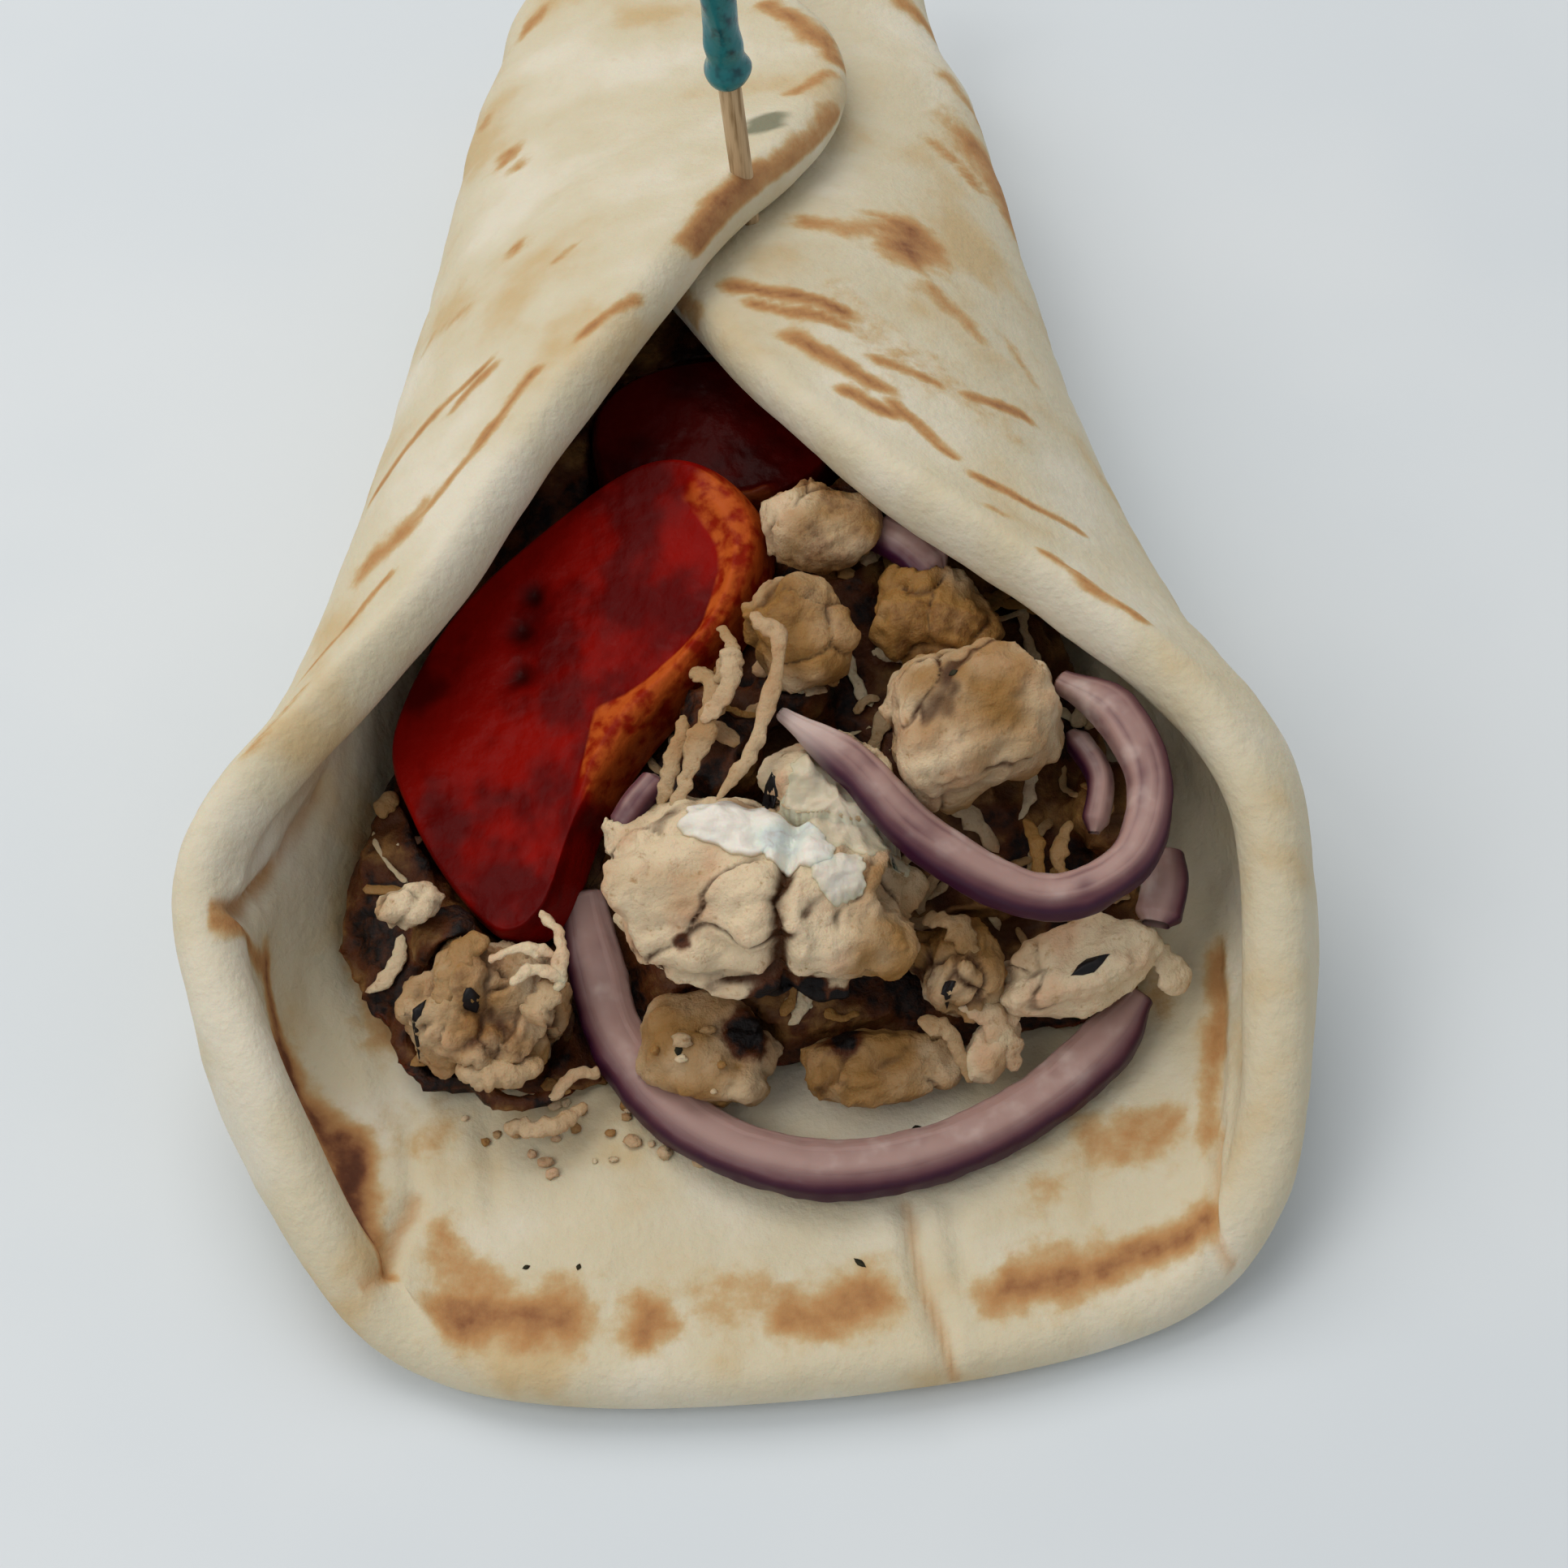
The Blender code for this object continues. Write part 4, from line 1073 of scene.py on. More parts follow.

# Creases: in the lip from left to right, up the right wall, and where the left corner is folded; they are
# grooved, and painted tan as painted shade
FOLDS_INSIDE = (
    Stroke(-39.0, -64.0, -44.5, -75.5, 0.9, 1.0),
    Stroke(-44.5, -75.5, -47.5, -82.0, 0.9, 1.0),
    Stroke(-32.0, -57.0, -31.5, -64.5, 0.8, 0.45),
    Stroke(5.5, -69.0, 6.5, -78.5, 0.8, 0.9),
    Stroke(6.5, -78.5, 8.5, -87.0, 0.8, 1.0),
    Stroke(9.5, -70.0, 10.0, -76.0, 0.8, 0.5),
    Stroke(36.5, -71.0, 34.5, -83.0, 0.9, 0.9),
    Stroke(23.5, -65.0, 22.5, -72.5, 0.8, 0.35),
    Stroke(39.5, -52.0, 36.0, -70.5, 0.9, 0.6),
    Stroke(-39.5, -55.5, -39.0, -64.0, 0.8, 0.5),
    Stroke(-47.0, -37.0, -39.5, -55.5, 1.3, 0.4),
    Stroke(-73.0, -60.5, -62.0, -41.5, 1.0, 1.2),
    Stroke(-62.0, -41.5, -58.0, -32.0, 1.2, 0.9),
)

# The thin place on the left flap, through which what lies below shows
THIN_OUTSIDE = (Stroke(-77.5, 31.0, -78.0, 29.0, 1.7, 1.0),)


@dataclass
class PitaSheet:
    """The rolled pita: both faces and the rounded rim of one sheet of dough."""

    roll: Roll
    lines: int = 218
    rim_width: float = 3.2
    rim_rings: int = 6
    mouth_share: float = 0.58
    corner_bulge: float = -0.05
    middle_shift: float = -1.6
    lip_reach: float = 2.6
    lip_spread: float = 28.0
    corner_reach: float = 2.0
    corner_at: float = 27.0
    corner_spread: float = 7.0
    tuck_pressed: float = 0.55
    base_sink: float = 0.25
    groove: float = 1.0
    heap: float = 0.35
    heap_width: float = 3.2
    swell: float = 0.5
    rim_wave: float = 0.55
    hidden_marks: int = 44

    def grid_stops(self, mouth_share: float) -> Array:
        """Grid lines from -1 to 1, close together on the round of the rim.

        Args:
            mouth_share: the share of lines in the half towards -1.

        Returns:
            The places of the lines.
        """
        turn = np.linspace(0, math.pi / 2, self.rim_rings + 1)[:-1]
        rim = 1.0 - self.rim_width * (1 - np.cos(turn)) / self.roll.radius
        inner = 1.0 - self.rim_width / self.roll.radius
        even = np.linspace(0, 1, self.lines + 1 - 2 * self.rim_rings)
        middle = inner * (2 * np.interp(even, [0, mouth_share, 1], [0, 0.5, 1]) - 1)
        return np.concatenate([-rim, middle, rim[::-1]])

    def flat_disc(self) -> tuple[Array, Array, Array]:
        """A square grid turned to rings round the pita's middle, drawn out at the lip and at one corner.

        Returns:
            Flat distances across and along, and reach from 0 in the middle to 1 on the rim.
        """
        u, v = np.meshgrid(self.grid_stops(0.5), self.grid_stops(self.mouth_share))
        reach = np.maximum(np.abs(u), np.abs(v))
        wide = np.abs(u) > np.abs(v)
        swing = math.pi / 4 * np.where(wide, v, u) / np.where(reach > 0, reach, 1.0)
        x = np.where(wide, np.sign(u) * np.cos(swing), np.sin(swing))
        y = np.where(wide, np.sin(swing), np.sign(v) * np.cos(swing))
        turn = np.arctan2(x, -y)
        degrees = np.degrees(turn)
        lip = self.lip_reach * bell(degrees, self.lip_spread)
        corner = self.corner_reach * bell(degrees - self.corner_at, self.corner_spread)
        bulge = self.corner_bulge * self.roll.radius * np.cos(4 * turn)
        radius = self.roll.radius * reach + reach**3 * (bulge + lip + corner)
        across = self.middle_shift * reach**2 + radius * np.sin(turn)
        return across.ravel(), (-radius * np.cos(turn)).ravel(), reach.ravel()

    def half_thickness(self, along: Array, reach: Array) -> Array:
        """Half the dough's thickness: a quarter circle at the rim, and pressed thin at the tuck.

        Args:
            along: flat distances along.
            reach: 0 in the pita's middle, 1 on its rim.

        Returns:
            One value in mm for each place.
        """
        from_rim = np.clip((1.0 - reach) * self.roll.radius / self.rim_width, 0, 1)
        late = smooth_step((along - self.roll.tuck_start + self.roll.tuck_radius) / self.roll.tuck_radius)
        pressed = 1 - (1 - self.tuck_pressed) * late
        return self.roll.thickness / 2 * np.sqrt(1 - (1 - from_rim) ** 2) * pressed

    def marks(self, face: Face) -> tuple[Stroke, ...]:
        """The toasted marks of a face, with more of their kind where the photo doesn't look.

        Args:
            face: inner or outer.

        Returns:
            The marks.
        """
        if face is Face.INNER:
            return MARKS_INSIDE
        draw = np.random.default_rng(17)
        hidden = []
        for across, along, turn in draw.uniform((-30, -72, 0), (30, 76, 2 * math.pi), (self.hidden_marks, 3)):
            length, width, strength = draw.uniform((0, 0.8, 0.5), (7, 2.8, 1.1))
            end = (across + length * math.cos(turn), along + length * math.sin(turn))
            hidden.append(Stroke(across, along, *end, width, strength))
        return MARKS_OUTSIDE + tuple(hidden)

    def face_surface(self, face: Face) -> Surface:
        """One face: the middle of the dough moved out by half the thickness and the face's own relief.

        Args:
            face: inner or outer.

        Returns:
            The face as an open grid with its point values.
        """
        across, along, reach = self.flat_disc()
        places = np.column_stack([across, along])
        flat = np.column_stack([places, np.full(len(across), 50.0 * face.value)])
        relief = self.swell * layered_noise(flat, 15, 3) + 0.2 * layered_noise(flat, 4.5, 8)
        folds = np.zeros(len(across))
        if face is Face.INNER:
            folds = strongest(FOLDS_INSIDE, places, 31)
            heaped = tuple(replace(fold, width=self.heap_width * fold.width) for fold in FOLDS_INSIDE)
            relief += self.heap * strongest(heaped, places, 31) - (self.groove + self.heap) * folds
        half = self.half_thickness(along, reach)
        offset = face.value * (half + relief * np.clip(half / (self.roll.thickness / 2), 0, 1))
        points = self.roll.place(across, along) + offset[:, None] * self.roll.inward(across, along)
        level = np.column_stack([places, np.zeros(len(across))])
        wave = self.rim_wave * lattice_noise(level, 13, 71) * smooth_step((reach - 0.8) / 0.2)
        points[:, 2] = np.maximum(points[:, 2] + wave - self.base_sink, 0.0)
        count = self.lines + 1
        thin = strongest(THIN_OUTSIDE, places, 41) if face is Face.OUTER else np.zeros(len(across))
        values = {Value.BROWNED: strongest(self.marks(face), places, 5), Value.FOLD: folds, Value.THIN: thin}
        return Surface(points, grid_quads(count, count).tolist(), values)

    def build(self, material: bpy.types.Material) -> Surface:
        """Joins both faces along the rim that they share, and adds the piece.

        Args:
            material: the dough.

        Returns:
            The inner face, which sauce and crumbs lie on.
        """
        inner, outer = self.face_surface(Face.INNER), self.face_surface(Face.OUTER)
        _, _, reach = self.flat_disc()
        shared = reach > 1.0 - 1e-6
        number = np.where(shared, np.arange(len(reach)), len(reach) + np.cumsum(~shared) - 1)
        points = np.concatenate([inner.points, outer.points[~shared]])
        faces = inner.faces + number[np.array(outer.faces)[:, ::-1]].tolist()
        values = {}
        for name, given in inner.values.items():
            values[name] = np.concatenate([given, outer.values[name][~shared]])
        add_piece("pita_sheet", Surface(points, faces, values), material, ("pita",))
        return inner


def close_copy(node: str, grain: float, smoothing: int) -> tuple[Surface, Array]:
    """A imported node's surface again as small even quads, with its facets smoothed off.

    Args:
        node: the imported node.
        grain: edge of a quad in mm.
        smoothing: rounds of smoothing.

    Returns:
        The surface, and a unit normal for each of its points.
    """
    source = bpy.data.objects.new(node + "_copy", bpy.data.objects[node].data.copy())
    bpy.context.scene.collection.objects.link(source)
    weld = source.modifiers.new("Weld", "WELD")
    weld.merge_threshold = 0.005 * MM
    remesh = source.modifiers.new("Remesh", "REMESH")
    remesh.mode = "VOXEL"
    remesh.voxel_size = grain * MM
    smooth = source.modifiers.new("Smooth", "SMOOTH")
    smooth.factor = 0.5
    smooth.iterations = smoothing
    graph = bpy.context.evaluated_depsgraph_get()
    mesh = bpy.data.meshes.new_from_object(source.evaluated_get(graph))
    points = np.empty(len(mesh.vertices) * 3, np.float32)
    mesh.vertices.foreach_get("co", points)
    normals = np.empty(len(mesh.vertices) * 3, np.float32)
    mesh.vertex_normals.foreach_get("vector", normals)
    faces = [list(polygon.vertices) for polygon in mesh.polygons]
    bpy.data.objects.remove(source, do_unlink=True)
    bpy.data.meshes.remove(mesh)
    return Surface(points.reshape(-1, 3).astype(float) / MM, faces), normals.reshape(-1, 3).astype(float)


def ground_of(surfaces: list[Surface]) -> Ground:
    """A function that gives the highest point of some surfaces over each place, or -1 beside them.

    Args:
        surfaces: what things lie on.

    Returns:
        The function, from distances across and along to heights.
    """
    whole = Surface.joined([Surface(surface.points, surface.faces) for surface in surfaces])
    tree = BVHTree.FromPolygons(whole.points.tolist(), whole.faces)

    def heights(x: Array, y: Array) -> Array:
        """The height in mm over each place, seen from above."""
        hits = [tree.ray_cast(Vector((a, b, 200.0)), Vector((0.0, 0.0, -1.0)))[0] for a, b in zip(x, y)]
        return np.array([-1.0 if hit is None else hit.z for hit in hits])

    return heights


@dataclass(frozen=True)
class Cleft:
    """A tear through a chunk: a plane through a place, with the way it faces, and how deep and wide it is."""

    through: Place
    facing: Place
    depth: float = 1.4
    width: float = 0.8


@dataclass(frozen=True)
class Spot:
    """A spot on a chunk, for burnt places, tan places and painted shadow: its middle, its radius and its
    strength.
    """

    middle: Place
    radius: float
    strength: float

    def covers(self, points: Array) -> Array:
        """How strongly it colours each point: fully within 0.6 of its radius, then falling as a bell.

        Args:
            points: places in mm, one row each.

        Returns:
            One value for each point.
        """
        ragged = 0.3 * self.radius * layered_noise(points, 2, 77)
        away = np.linalg.norm(points - np.array(self.middle), axis=1) + ragged
        return self.strength * bell(np.clip(away - 0.6 * self.radius, 0, None), 0.5 * self.radius)


@dataclass
class TornChunk:
    """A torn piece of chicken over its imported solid: clods of muscle, tears between them and fine fibres."""

    node: str
    fibre: Place
    seed: int
    tone: float = 0.3
    browned: float = 0.2
    clod: float = 6.0
    lumps: float = 0.7
    tears: float = 0.9
    fibres: float = 0.2
    domes: float = 0.15
    crags: float = 0.4
    grain: float = 0.4
    clefts: tuple[Cleft, ...] = ()
    chars_and_shadow: tuple[Spot, ...] = ()
    tans: tuple[Spot, ...] = ()

    def split(self, points: Array) -> Array:
        """How deep the clefts cut at each point: a bell over the distance to a plane that noise bends.

        Args:
            points: places in mm, one row each.

        Returns:
            One depth in mm for each point.
        """
        deepest = np.zeros(len(points))
        for cleft in self.clefts:
            facing = np.array(cleft.facing) / np.linalg.norm(cleft.facing)
            bent = 0.7 * layered_noise(points, 3.0, self.seed + 50)
            away = (points - np.array(cleft.through)) @ facing + bent
            deepest = np.maximum(deepest, cleft.depth * bell(away, cleft.width))
        return deepest

    def surface(self) -> Surface:
        """Relief on the copy: broad noise, clods with tears between them, and noise drawn out as fibres.

        Returns:
            The chunk with its point values.
        """
        copy, normals = close_copy(self.node, self.grain, 3)
        points = copy.points
        way = np.array(self.fibre) / np.linalg.norm(self.fibre)
        along = (points @ way)[:, None] * way
        lump = layered_noise(points, 7.0, self.seed)
        warp = np.column_stack([lattice_noise(points, 3.0, self.seed + 20 + k) for k in range(3)])
        nearest, second = clod_distances(points - 0.45 * along + 0.9 * warp, self.clod, self.seed + 30)
        torn = smooth_step((layered_noise(points, 6.0, self.seed + 40) + 0.35) / 0.5)
        tear = bell(second - nearest, 0.5) * torn
        dome = 1 - (nearest / (0.62 * self.clod)) ** 2
        fibre = 1 - 2 * np.abs(layered_noise(points - 0.88 * along, 1.0, self.seed + 7, 2))
        crag = 1 - 2 * np.abs(layered_noise(points, 2.2, self.seed + 9, 2))
        split = self.split(points)
        rise = self.lumps * lump + self.domes * (dome - 0.3) - 0.6 * self.tears * tear - split
        rise += self.fibres * (fibre - 0.4) + self.crags * (crag - 0.4)
        browned = self.browned * smooth_step((layered_noise(points, 6, self.seed + 11) + 0.05) / 0.4)
        # Char spots; those in the cavity below the main piece are painted shadow
        for spot in self.chars_and_shadow:
            browned = np.maximum(browned, spot.covers(points))
        tone = self.tone + 0.7 * layered_noise(points, 6.0, self.seed + 60)
        for spot in self.tans:
            tone = tone + spot.covers(points)
        values = {
            # Painted shade: depth falls in tears and clefts, where the finish darkens the meat
            Value.DEPTH: np.clip(0.62 + 0.25 * lump - 0.5 * tear - 0.35 * split + 0.12 * (fibre - 0.4), 0, 1),
            Value.BROWNED: browned,
            Value.TONE: np.clip(tone, 0, 1),
        }
        return Surface(points + rise[:, None] * normals, copy.faces, values)

    def build(self, material: bpy.types.Material) -> Surface:
        """Adds the piece in place of its node.

        Args:
            material: the chicken.

        Returns:
            The chunk's surface, which sauce and flecks lie on.
        """
        surface = self.surface()
        add_piece("meat_" + self.node, surface, material, (self.node,))
        return surface


@dataclass(frozen=True)
class Shred:
    """A shred or flake of chicken: places that it passes, its width and depth, and how tan it is."""

    path: tuple[Place, ...]
    wide: float
    deep: float
    tone: float = 0.4
    seed: int = 1
    sides: int = 12

    def surface(self) -> Surface:
        """A flat rounded section carried along the path, thinning to both ends, with frayed edges.

        Returns:
            The closed shred with its point values.
        """
        count = 14 * len(self.path) if len(self.path) < 9 else 2 * len(self.path)
        path = smooth_path(self.path, count)
        along = np.linspace(0, 1, count)
        uneven = 0.8 + 0.35 * lattice_noise(path, 2.5, self.seed)
        scale = np.sqrt(np.clip(1 - (2 * along - 1) ** 6, 0, 1)) * uneven
        angle = np.arange(self.sides) / self.sides * 2 * math.pi
        across, above = np.cos(angle) * self.wide / 2, np.sin(angle) * self.deep / 2
        rings = carried(path, across, above, np.clip(scale, 0.03, 2))
        flat = rings.reshape(-1, 3)
        frayed = layered_noise(flat, 0.9, self.seed + 3, 2)
        flat = flat + 0.65 * frayed[:, None] * (flat - np.repeat(path, self.sides, axis=0))
        values = {
            # Painted shade: depth falls where the frayed edge is pulled in
            Value.DEPTH: np.clip(0.62 + 0.35 * frayed, 0, 1),
            Value.BROWNED: np.full(len(flat), 0.05),
            Value.TONE: np.clip(self.tone + 0.2 * layered_noise(flat, 4, self.seed + 5), 0, 1),
        }
        return Surface.capped(flat.reshape(rings.shape), values)


# The middle line of the lower onion ring, from its end at the left to the one at the right
LOWER_RING = (
    (-21.5, -36.6, 12.5),
    (-20.7, -43.6, 9.8),
    (-18.9, -51.4, 8.4),
    (-13.2, -60.1, 8.2),
    (-5.0, -65.2, 8.2),
    (4.0, -66.4, 8.2),
    (13.0, -64.5, 8.2),
    (20.5, -60.6, 8.4),
    (26.3, -56.1, 9.4),
    (29.5, -53.0, 11.0),
)


@dataclass
class ShreddedHeap:
    """The heap of shredded chicken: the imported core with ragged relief, and loose shreds lying on it."""

    node: str = "chicken_filling"
    grain: float = 0.75
    shreds: int = 230
    seed: int = 40
    west: float = -40.0
    east: float = 34.0
    south: float = -62.0
    north: float = -12.0
    bed_width: float = 3.4
    bed_depth: float = 1.2
    sight: Place = (0.0, -0.548, 0.836)

    def above_bed(self, points: Array) -> Array:
        """How far each point stands in front of the lower onion ring, along the photo's line of sight.

        Args:
            points: places in mm, one row each.

        Returns:
            One distance in mm for each point, 0 behind the ring and beside it.
        """
        bed = smooth_path(LOWER_RING[:5], 60)
        sight = np.array(self.sight)
        upright = np.cross((1.0, 0.0, 0.0), sight)
        seen = np.column_stack([points[:, 0], points @ upright])
        line = np.column_stack([bed[:, 0], bed @ upright])
        away = np.linalg.norm(seen[:, None, :] - line[None, :, :], axis=2)
        nearest = away.argmin(axis=1)
        front = (points - bed[nearest]) @ sight + self.bed_depth
        return np.clip(front, 0, None) * (1 - smooth_step(away.min(axis=1) / self.bed_width - 0.8))

    def core(self) -> Surface:
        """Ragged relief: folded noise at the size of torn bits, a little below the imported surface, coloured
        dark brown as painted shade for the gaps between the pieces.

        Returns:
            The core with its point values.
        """
        copy, normals = close_copy(self.node, self.grain, 2)
        points = copy.points
        lump = layered_noise(points, 4.0, self.seed)
        torn = 1 - 2 * np.abs(layered_noise(points, 2.4, self.seed + 2, 2))
        rise = 0.45 * lump + 0.5 * (torn - 0.5) - 0.5
        # Painted shade: the core is browned and tan all over, and darker still where depth is low
        values = {
            Value.DEPTH: np.clip(0.2 + 0.45 * lump + 0.25 * (torn - 0.4), 0, 1),
            Value.BROWNED: 0.5 + 0.65 * smooth_step((layered_noise(points, 5, self.seed + 5) + 0.25) / 0.5),
            Value.TONE: np.full(len(points), 0.9),
        }
        raised = points + rise[:, None] * normals
        raised -= self.above_bed(raised)[:, None] * np.array(self.sight)
        return Surface(raised, copy.faces, values)

    def loose_shreds(self, ground: Ground) -> list[Surface]:
        """Shreds strewn over the heap, each following the ground under it.

        Args:
            ground: gives the heap's height under each place.

        Returns:
            One closed surface for each shred.
        """
        draw = np.random.default_rng(self.seed)
        made = []
        for number in range(self.shreds):
            x, y, turn = draw.uniform((self.west, self.south, 0), (self.east, self.north, math.pi))
            bend, length, wide, tone = draw.uniform((-0.8, 2.5, 0.8, 0.1), (0.8, 7.0, 2.1, 1.0))
            along = np.linspace(-0.5, 0.5, 9)
            heading = turn + bend * along
            across, ahead = x + length * along * np.cos(heading), y + length * along * np.sin(heading)
            level = ground(across, ahead)
            if (level < 0).any() or np.ptp(level) > 0.8 * length:
                continue
            if (self.above_bed(np.column_stack([across, ahead, level + 2.0])) > 0).any():
                continue
            level = np.convolve(np.pad(level, 2, mode="edge"), np.ones(5) / 5, mode="valid")
            lift = draw.uniform(-0.1, 0.4) + draw.uniform(0.0, 0.5) * np.cos(math.pi * along)
            path = np.column_stack([across, ahead, level + lift])
            shred = Shred(tuple(map(tuple, path)), wide, wide * draw.uniform(0.25, 0.45), tone, number)
            made.append(shred.surface())
        return made

    def build(self, material: bpy.types.Material, flakes: tuple[Shred, ...]) -> Surface:
        """Adds the core in place of its node, and the shreds and flakes on it.

        Args:
            material: the chicken.
            flakes: shreds at named places.

        Returns:
            The core.
        """
        core = self.core()
        add_piece("shredded_heap", core, material, (self.node,))
        loose = self.loose_shreds(ground_of([core])) + [flake.surface() for flake in flakes]
        add_piece("loose_shreds", Surface.joined(loose), material)
        return core


@dataclass
class OnionBand:
    """A cut strip of an onion layer: an arched section along a path, with fine lines and a skin edge."""

    node: str
    path: tuple[Place, ...]
    wide: float
    deep: float
    tips: tuple[float, float]
    seed: int
    # mauve: the darker mauve of the onion's layers, and on the hook, the top piece and the inner strip also
    # painted shade
    mauve: float = 0.0
    pale_tip: float = 0.0
    sides: int = 44
    squareness: float = 3.0
    ridges: float = 5.5

    def surface(self) -> Surface:
        """The section is a rounded box, lifted by an arch, carried along the curve through the path's points.

        Returns:
            The closed band with its point values.
        """
        count = 26 * len(self.path)
        path = smooth_path(self.path, count)
        along = np.linspace(0, 1, count)
        start, end = smooth_step(along / 0.14), smooth_step((1 - along) / 0.14)
        scale = (self.tips[0] + (1 - self.tips[0]) * start) * (self.tips[1] + (1 - self.tips[1]) * end)
        rounded = 1 - np.clip(np.abs(2 * along - 1) - 0.975, 0, 1) / 0.025
        scale *= (np.sqrt(1 - (1 - rounded) ** 2) + 0.02) * (1 + 0.05 * lattice_noise(path, 9, self.seed + 1))
        angle = np.arange(self.sides) / self.sides * 2 * math.pi
        corner = 2 / self.squareness
        u = np.sign(np.cos(angle)) * np.abs(np.cos(angle)) ** corner * self.wide / 2
        v = np.sign(np.sin(angle)) * np.abs(np.sin(angle)) ** corner * self.deep / 2
        arch = 0.12 * self.deep * (1 - (2 * u / self.wide) ** 2)
        rings = carried(path, u, v + arch, scale)
        points = rings.reshape(-1, 3)
        wave = 0.12 * layered_noise(points, 6, self.seed) + 0.04 * layered_noise(points, 1.6, self.seed + 2)
        points = points + wave[:, None] * (points - np.repeat(path, self.sides, axis=0))
        drift = 1.2 * layered_noise(points, 7, self.seed + 6)
        lines = 0.5 + 0.5 * np.sin(np.tile(u, count) * self.ridges + drift)
        streaks = self.mauve + 0.4 * lines + 0.4 * layered_noise(points, 3, self.seed + 8)
        edge = 0.5 + np.tile(u / self.wide, count)
        values = {
            Value.TONE: np.clip(edge + 0.02 * layered_noise(points, 2.2, self.seed + 4), 0, 1),
            Value.FOLD: np.clip(streaks, 0, 1),
            Value.DEPTH: self.pale_tip * np.repeat(1 - smooth_step(along / 0.2), self.sides),
        }
        return Surface.capped(points.reshape(rings.shape), values)

    def build(self, material: bpy.types.Material) -> None:
        """Adds the piece in place of its node."""
        add_piece("band_" + self.node, self.surface(), material, (self.node,))


@dataclass(frozen=True)
class SeedHollow:
    """A dark hollow on a tomato slice's top: its place along and aside, and its radius."""

    along: float
    aside: float
    radius: float


@dataclass
class TomatoSlice:
    """A slice of tomato below its top face: flesh, seed hollows and the outer wall along part of its edge."""

    node: str
    outline: tuple[tuple[float, float], ...]
    thickness: float
    centre: Place
    along: Place
    facing: Place
    seed: int
    wall_towards: float = -75.0
    wall_spread: float = 62.0
    wall_width: float = 3.4
    hollows: tuple[SeedHollow, ...] = ()
    # Painted shade: shaded darkens the top towards one side
    shaded: float = 0.0
    # juicy is painted shade: it darkens the whole slice
    juicy: float = 0.0
    sides: int = 240
    rings: int = 60

    def placed(self, local: Array) -> Array:
        """Turns points from the slice's own axes to the frame.

        Args:
            local: places along, aside and above the slice, one row each.

        Returns:
            Places in the frame.
        """
        up = Vector(self.facing).normalized()
        ahead = Vector(self.along)
        ahead = (ahead - up * ahead.dot(up)).normalized()
        turned = np.array(Matrix((ahead, up.cross(ahead), up)).transposed())
        return local @ turned.T + np.array(self.centre)

    def surface(self) -> Surface:
        """Rings from near the middle of the top out to its edge, round the side, and back in below.

        The top's relief is noise, a raised band at the wall and bell-shaped hollows.

        Returns:
            The closed slice with its point values.
        """
        edge = smooth_path(self.outline, self.sides, closed=True)
        middle = edge.mean(axis=0)
        spokes = edge - middle
        lengths = np.linalg.norm(spokes, axis=1)
        share = np.concatenate([np.linspace(0.01, 1.0, self.rings), np.ones(14), np.linspace(1.0, 0.02, 12)])
        turn = np.concatenate([np.zeros(self.rings), np.linspace(0, math.pi, 16)[1:-1], np.full(12, math.pi)])
        lines = len(share)
        inset = share**6 * 0.9 * (np.sin(turn) - 1)
        flat = middle + share[:, None, None] * spokes + inset[:, None, None] * (spokes / lengths[:, None])
        drop = -self.thickness * (0.5 - 0.5 * np.cos(turn))
        level = np.repeat(drop[:, None, None], self.sides, axis=1)
        grid = np.concatenate([flat, level], axis=2).reshape(-1, 3)
        way = np.degrees(np.arctan2(grid[:, 1] - middle[1], grid[:, 0] - middle[0]))
        off = np.abs((way - self.wall_towards + 180) % 360 - 180)
        towards_wall = 1 - smooth_step((off - self.wall_spread) / 18)
        from_edge = (1 - np.repeat(share, self.sides)) * np.tile(lengths, lines)
        ragged = 0.8 * layered_noise(grid, 5, self.seed + 9)
        wall = towards_wall * (1 - smooth_step((from_edge + ragged - self.wall_width) / 1.8))
        top = np.repeat(np.arange(lines) < self.rings, self.sides)
        pits = np.zeros(len(grid))
        for hollow in self.hollows:
            away = np.hypot(grid[:, 0] - hollow.along, grid[:, 1] - hollow.aside) + 0.5 * ragged
            pits = np.maximum(pits, 0.7 * bell(away, hollow.radius) * top)
        relief = 0.35 * layered_noise(grid, 7, self.seed) + 0.12 * layered_noise(grid, 2, self.seed + 3)
        ridge = 0.8 * wall * bell(from_edge - 1.8, 1.6)
        grid[:, 2] += np.where(top, relief + ridge - 1.2 * pits, 0.3 * relief)
        # Painted shade: juicy dims the whole slice and shaded darkens its top towards one side
        dark = self.juicy + self.shaded * smooth_step((grid[:, 0] - 14.0) / 14.0) * (1 - wall) * top
        values = {
            Value.TONE: np.clip(np.where(top, wall, 0.75 * towards_wall), 0, 1),
            Value.DEPTH: np.maximum(pits, dark),
        }
        return Surface.capped(self.placed(grid).reshape(lines, self.sides, 3), values)

    def build(self, material: bpy.types.Material) -> None:
        """Adds the piece in place of its node."""
        add_piece("slice_" + self.node, self.surface(), material, (self.node,))


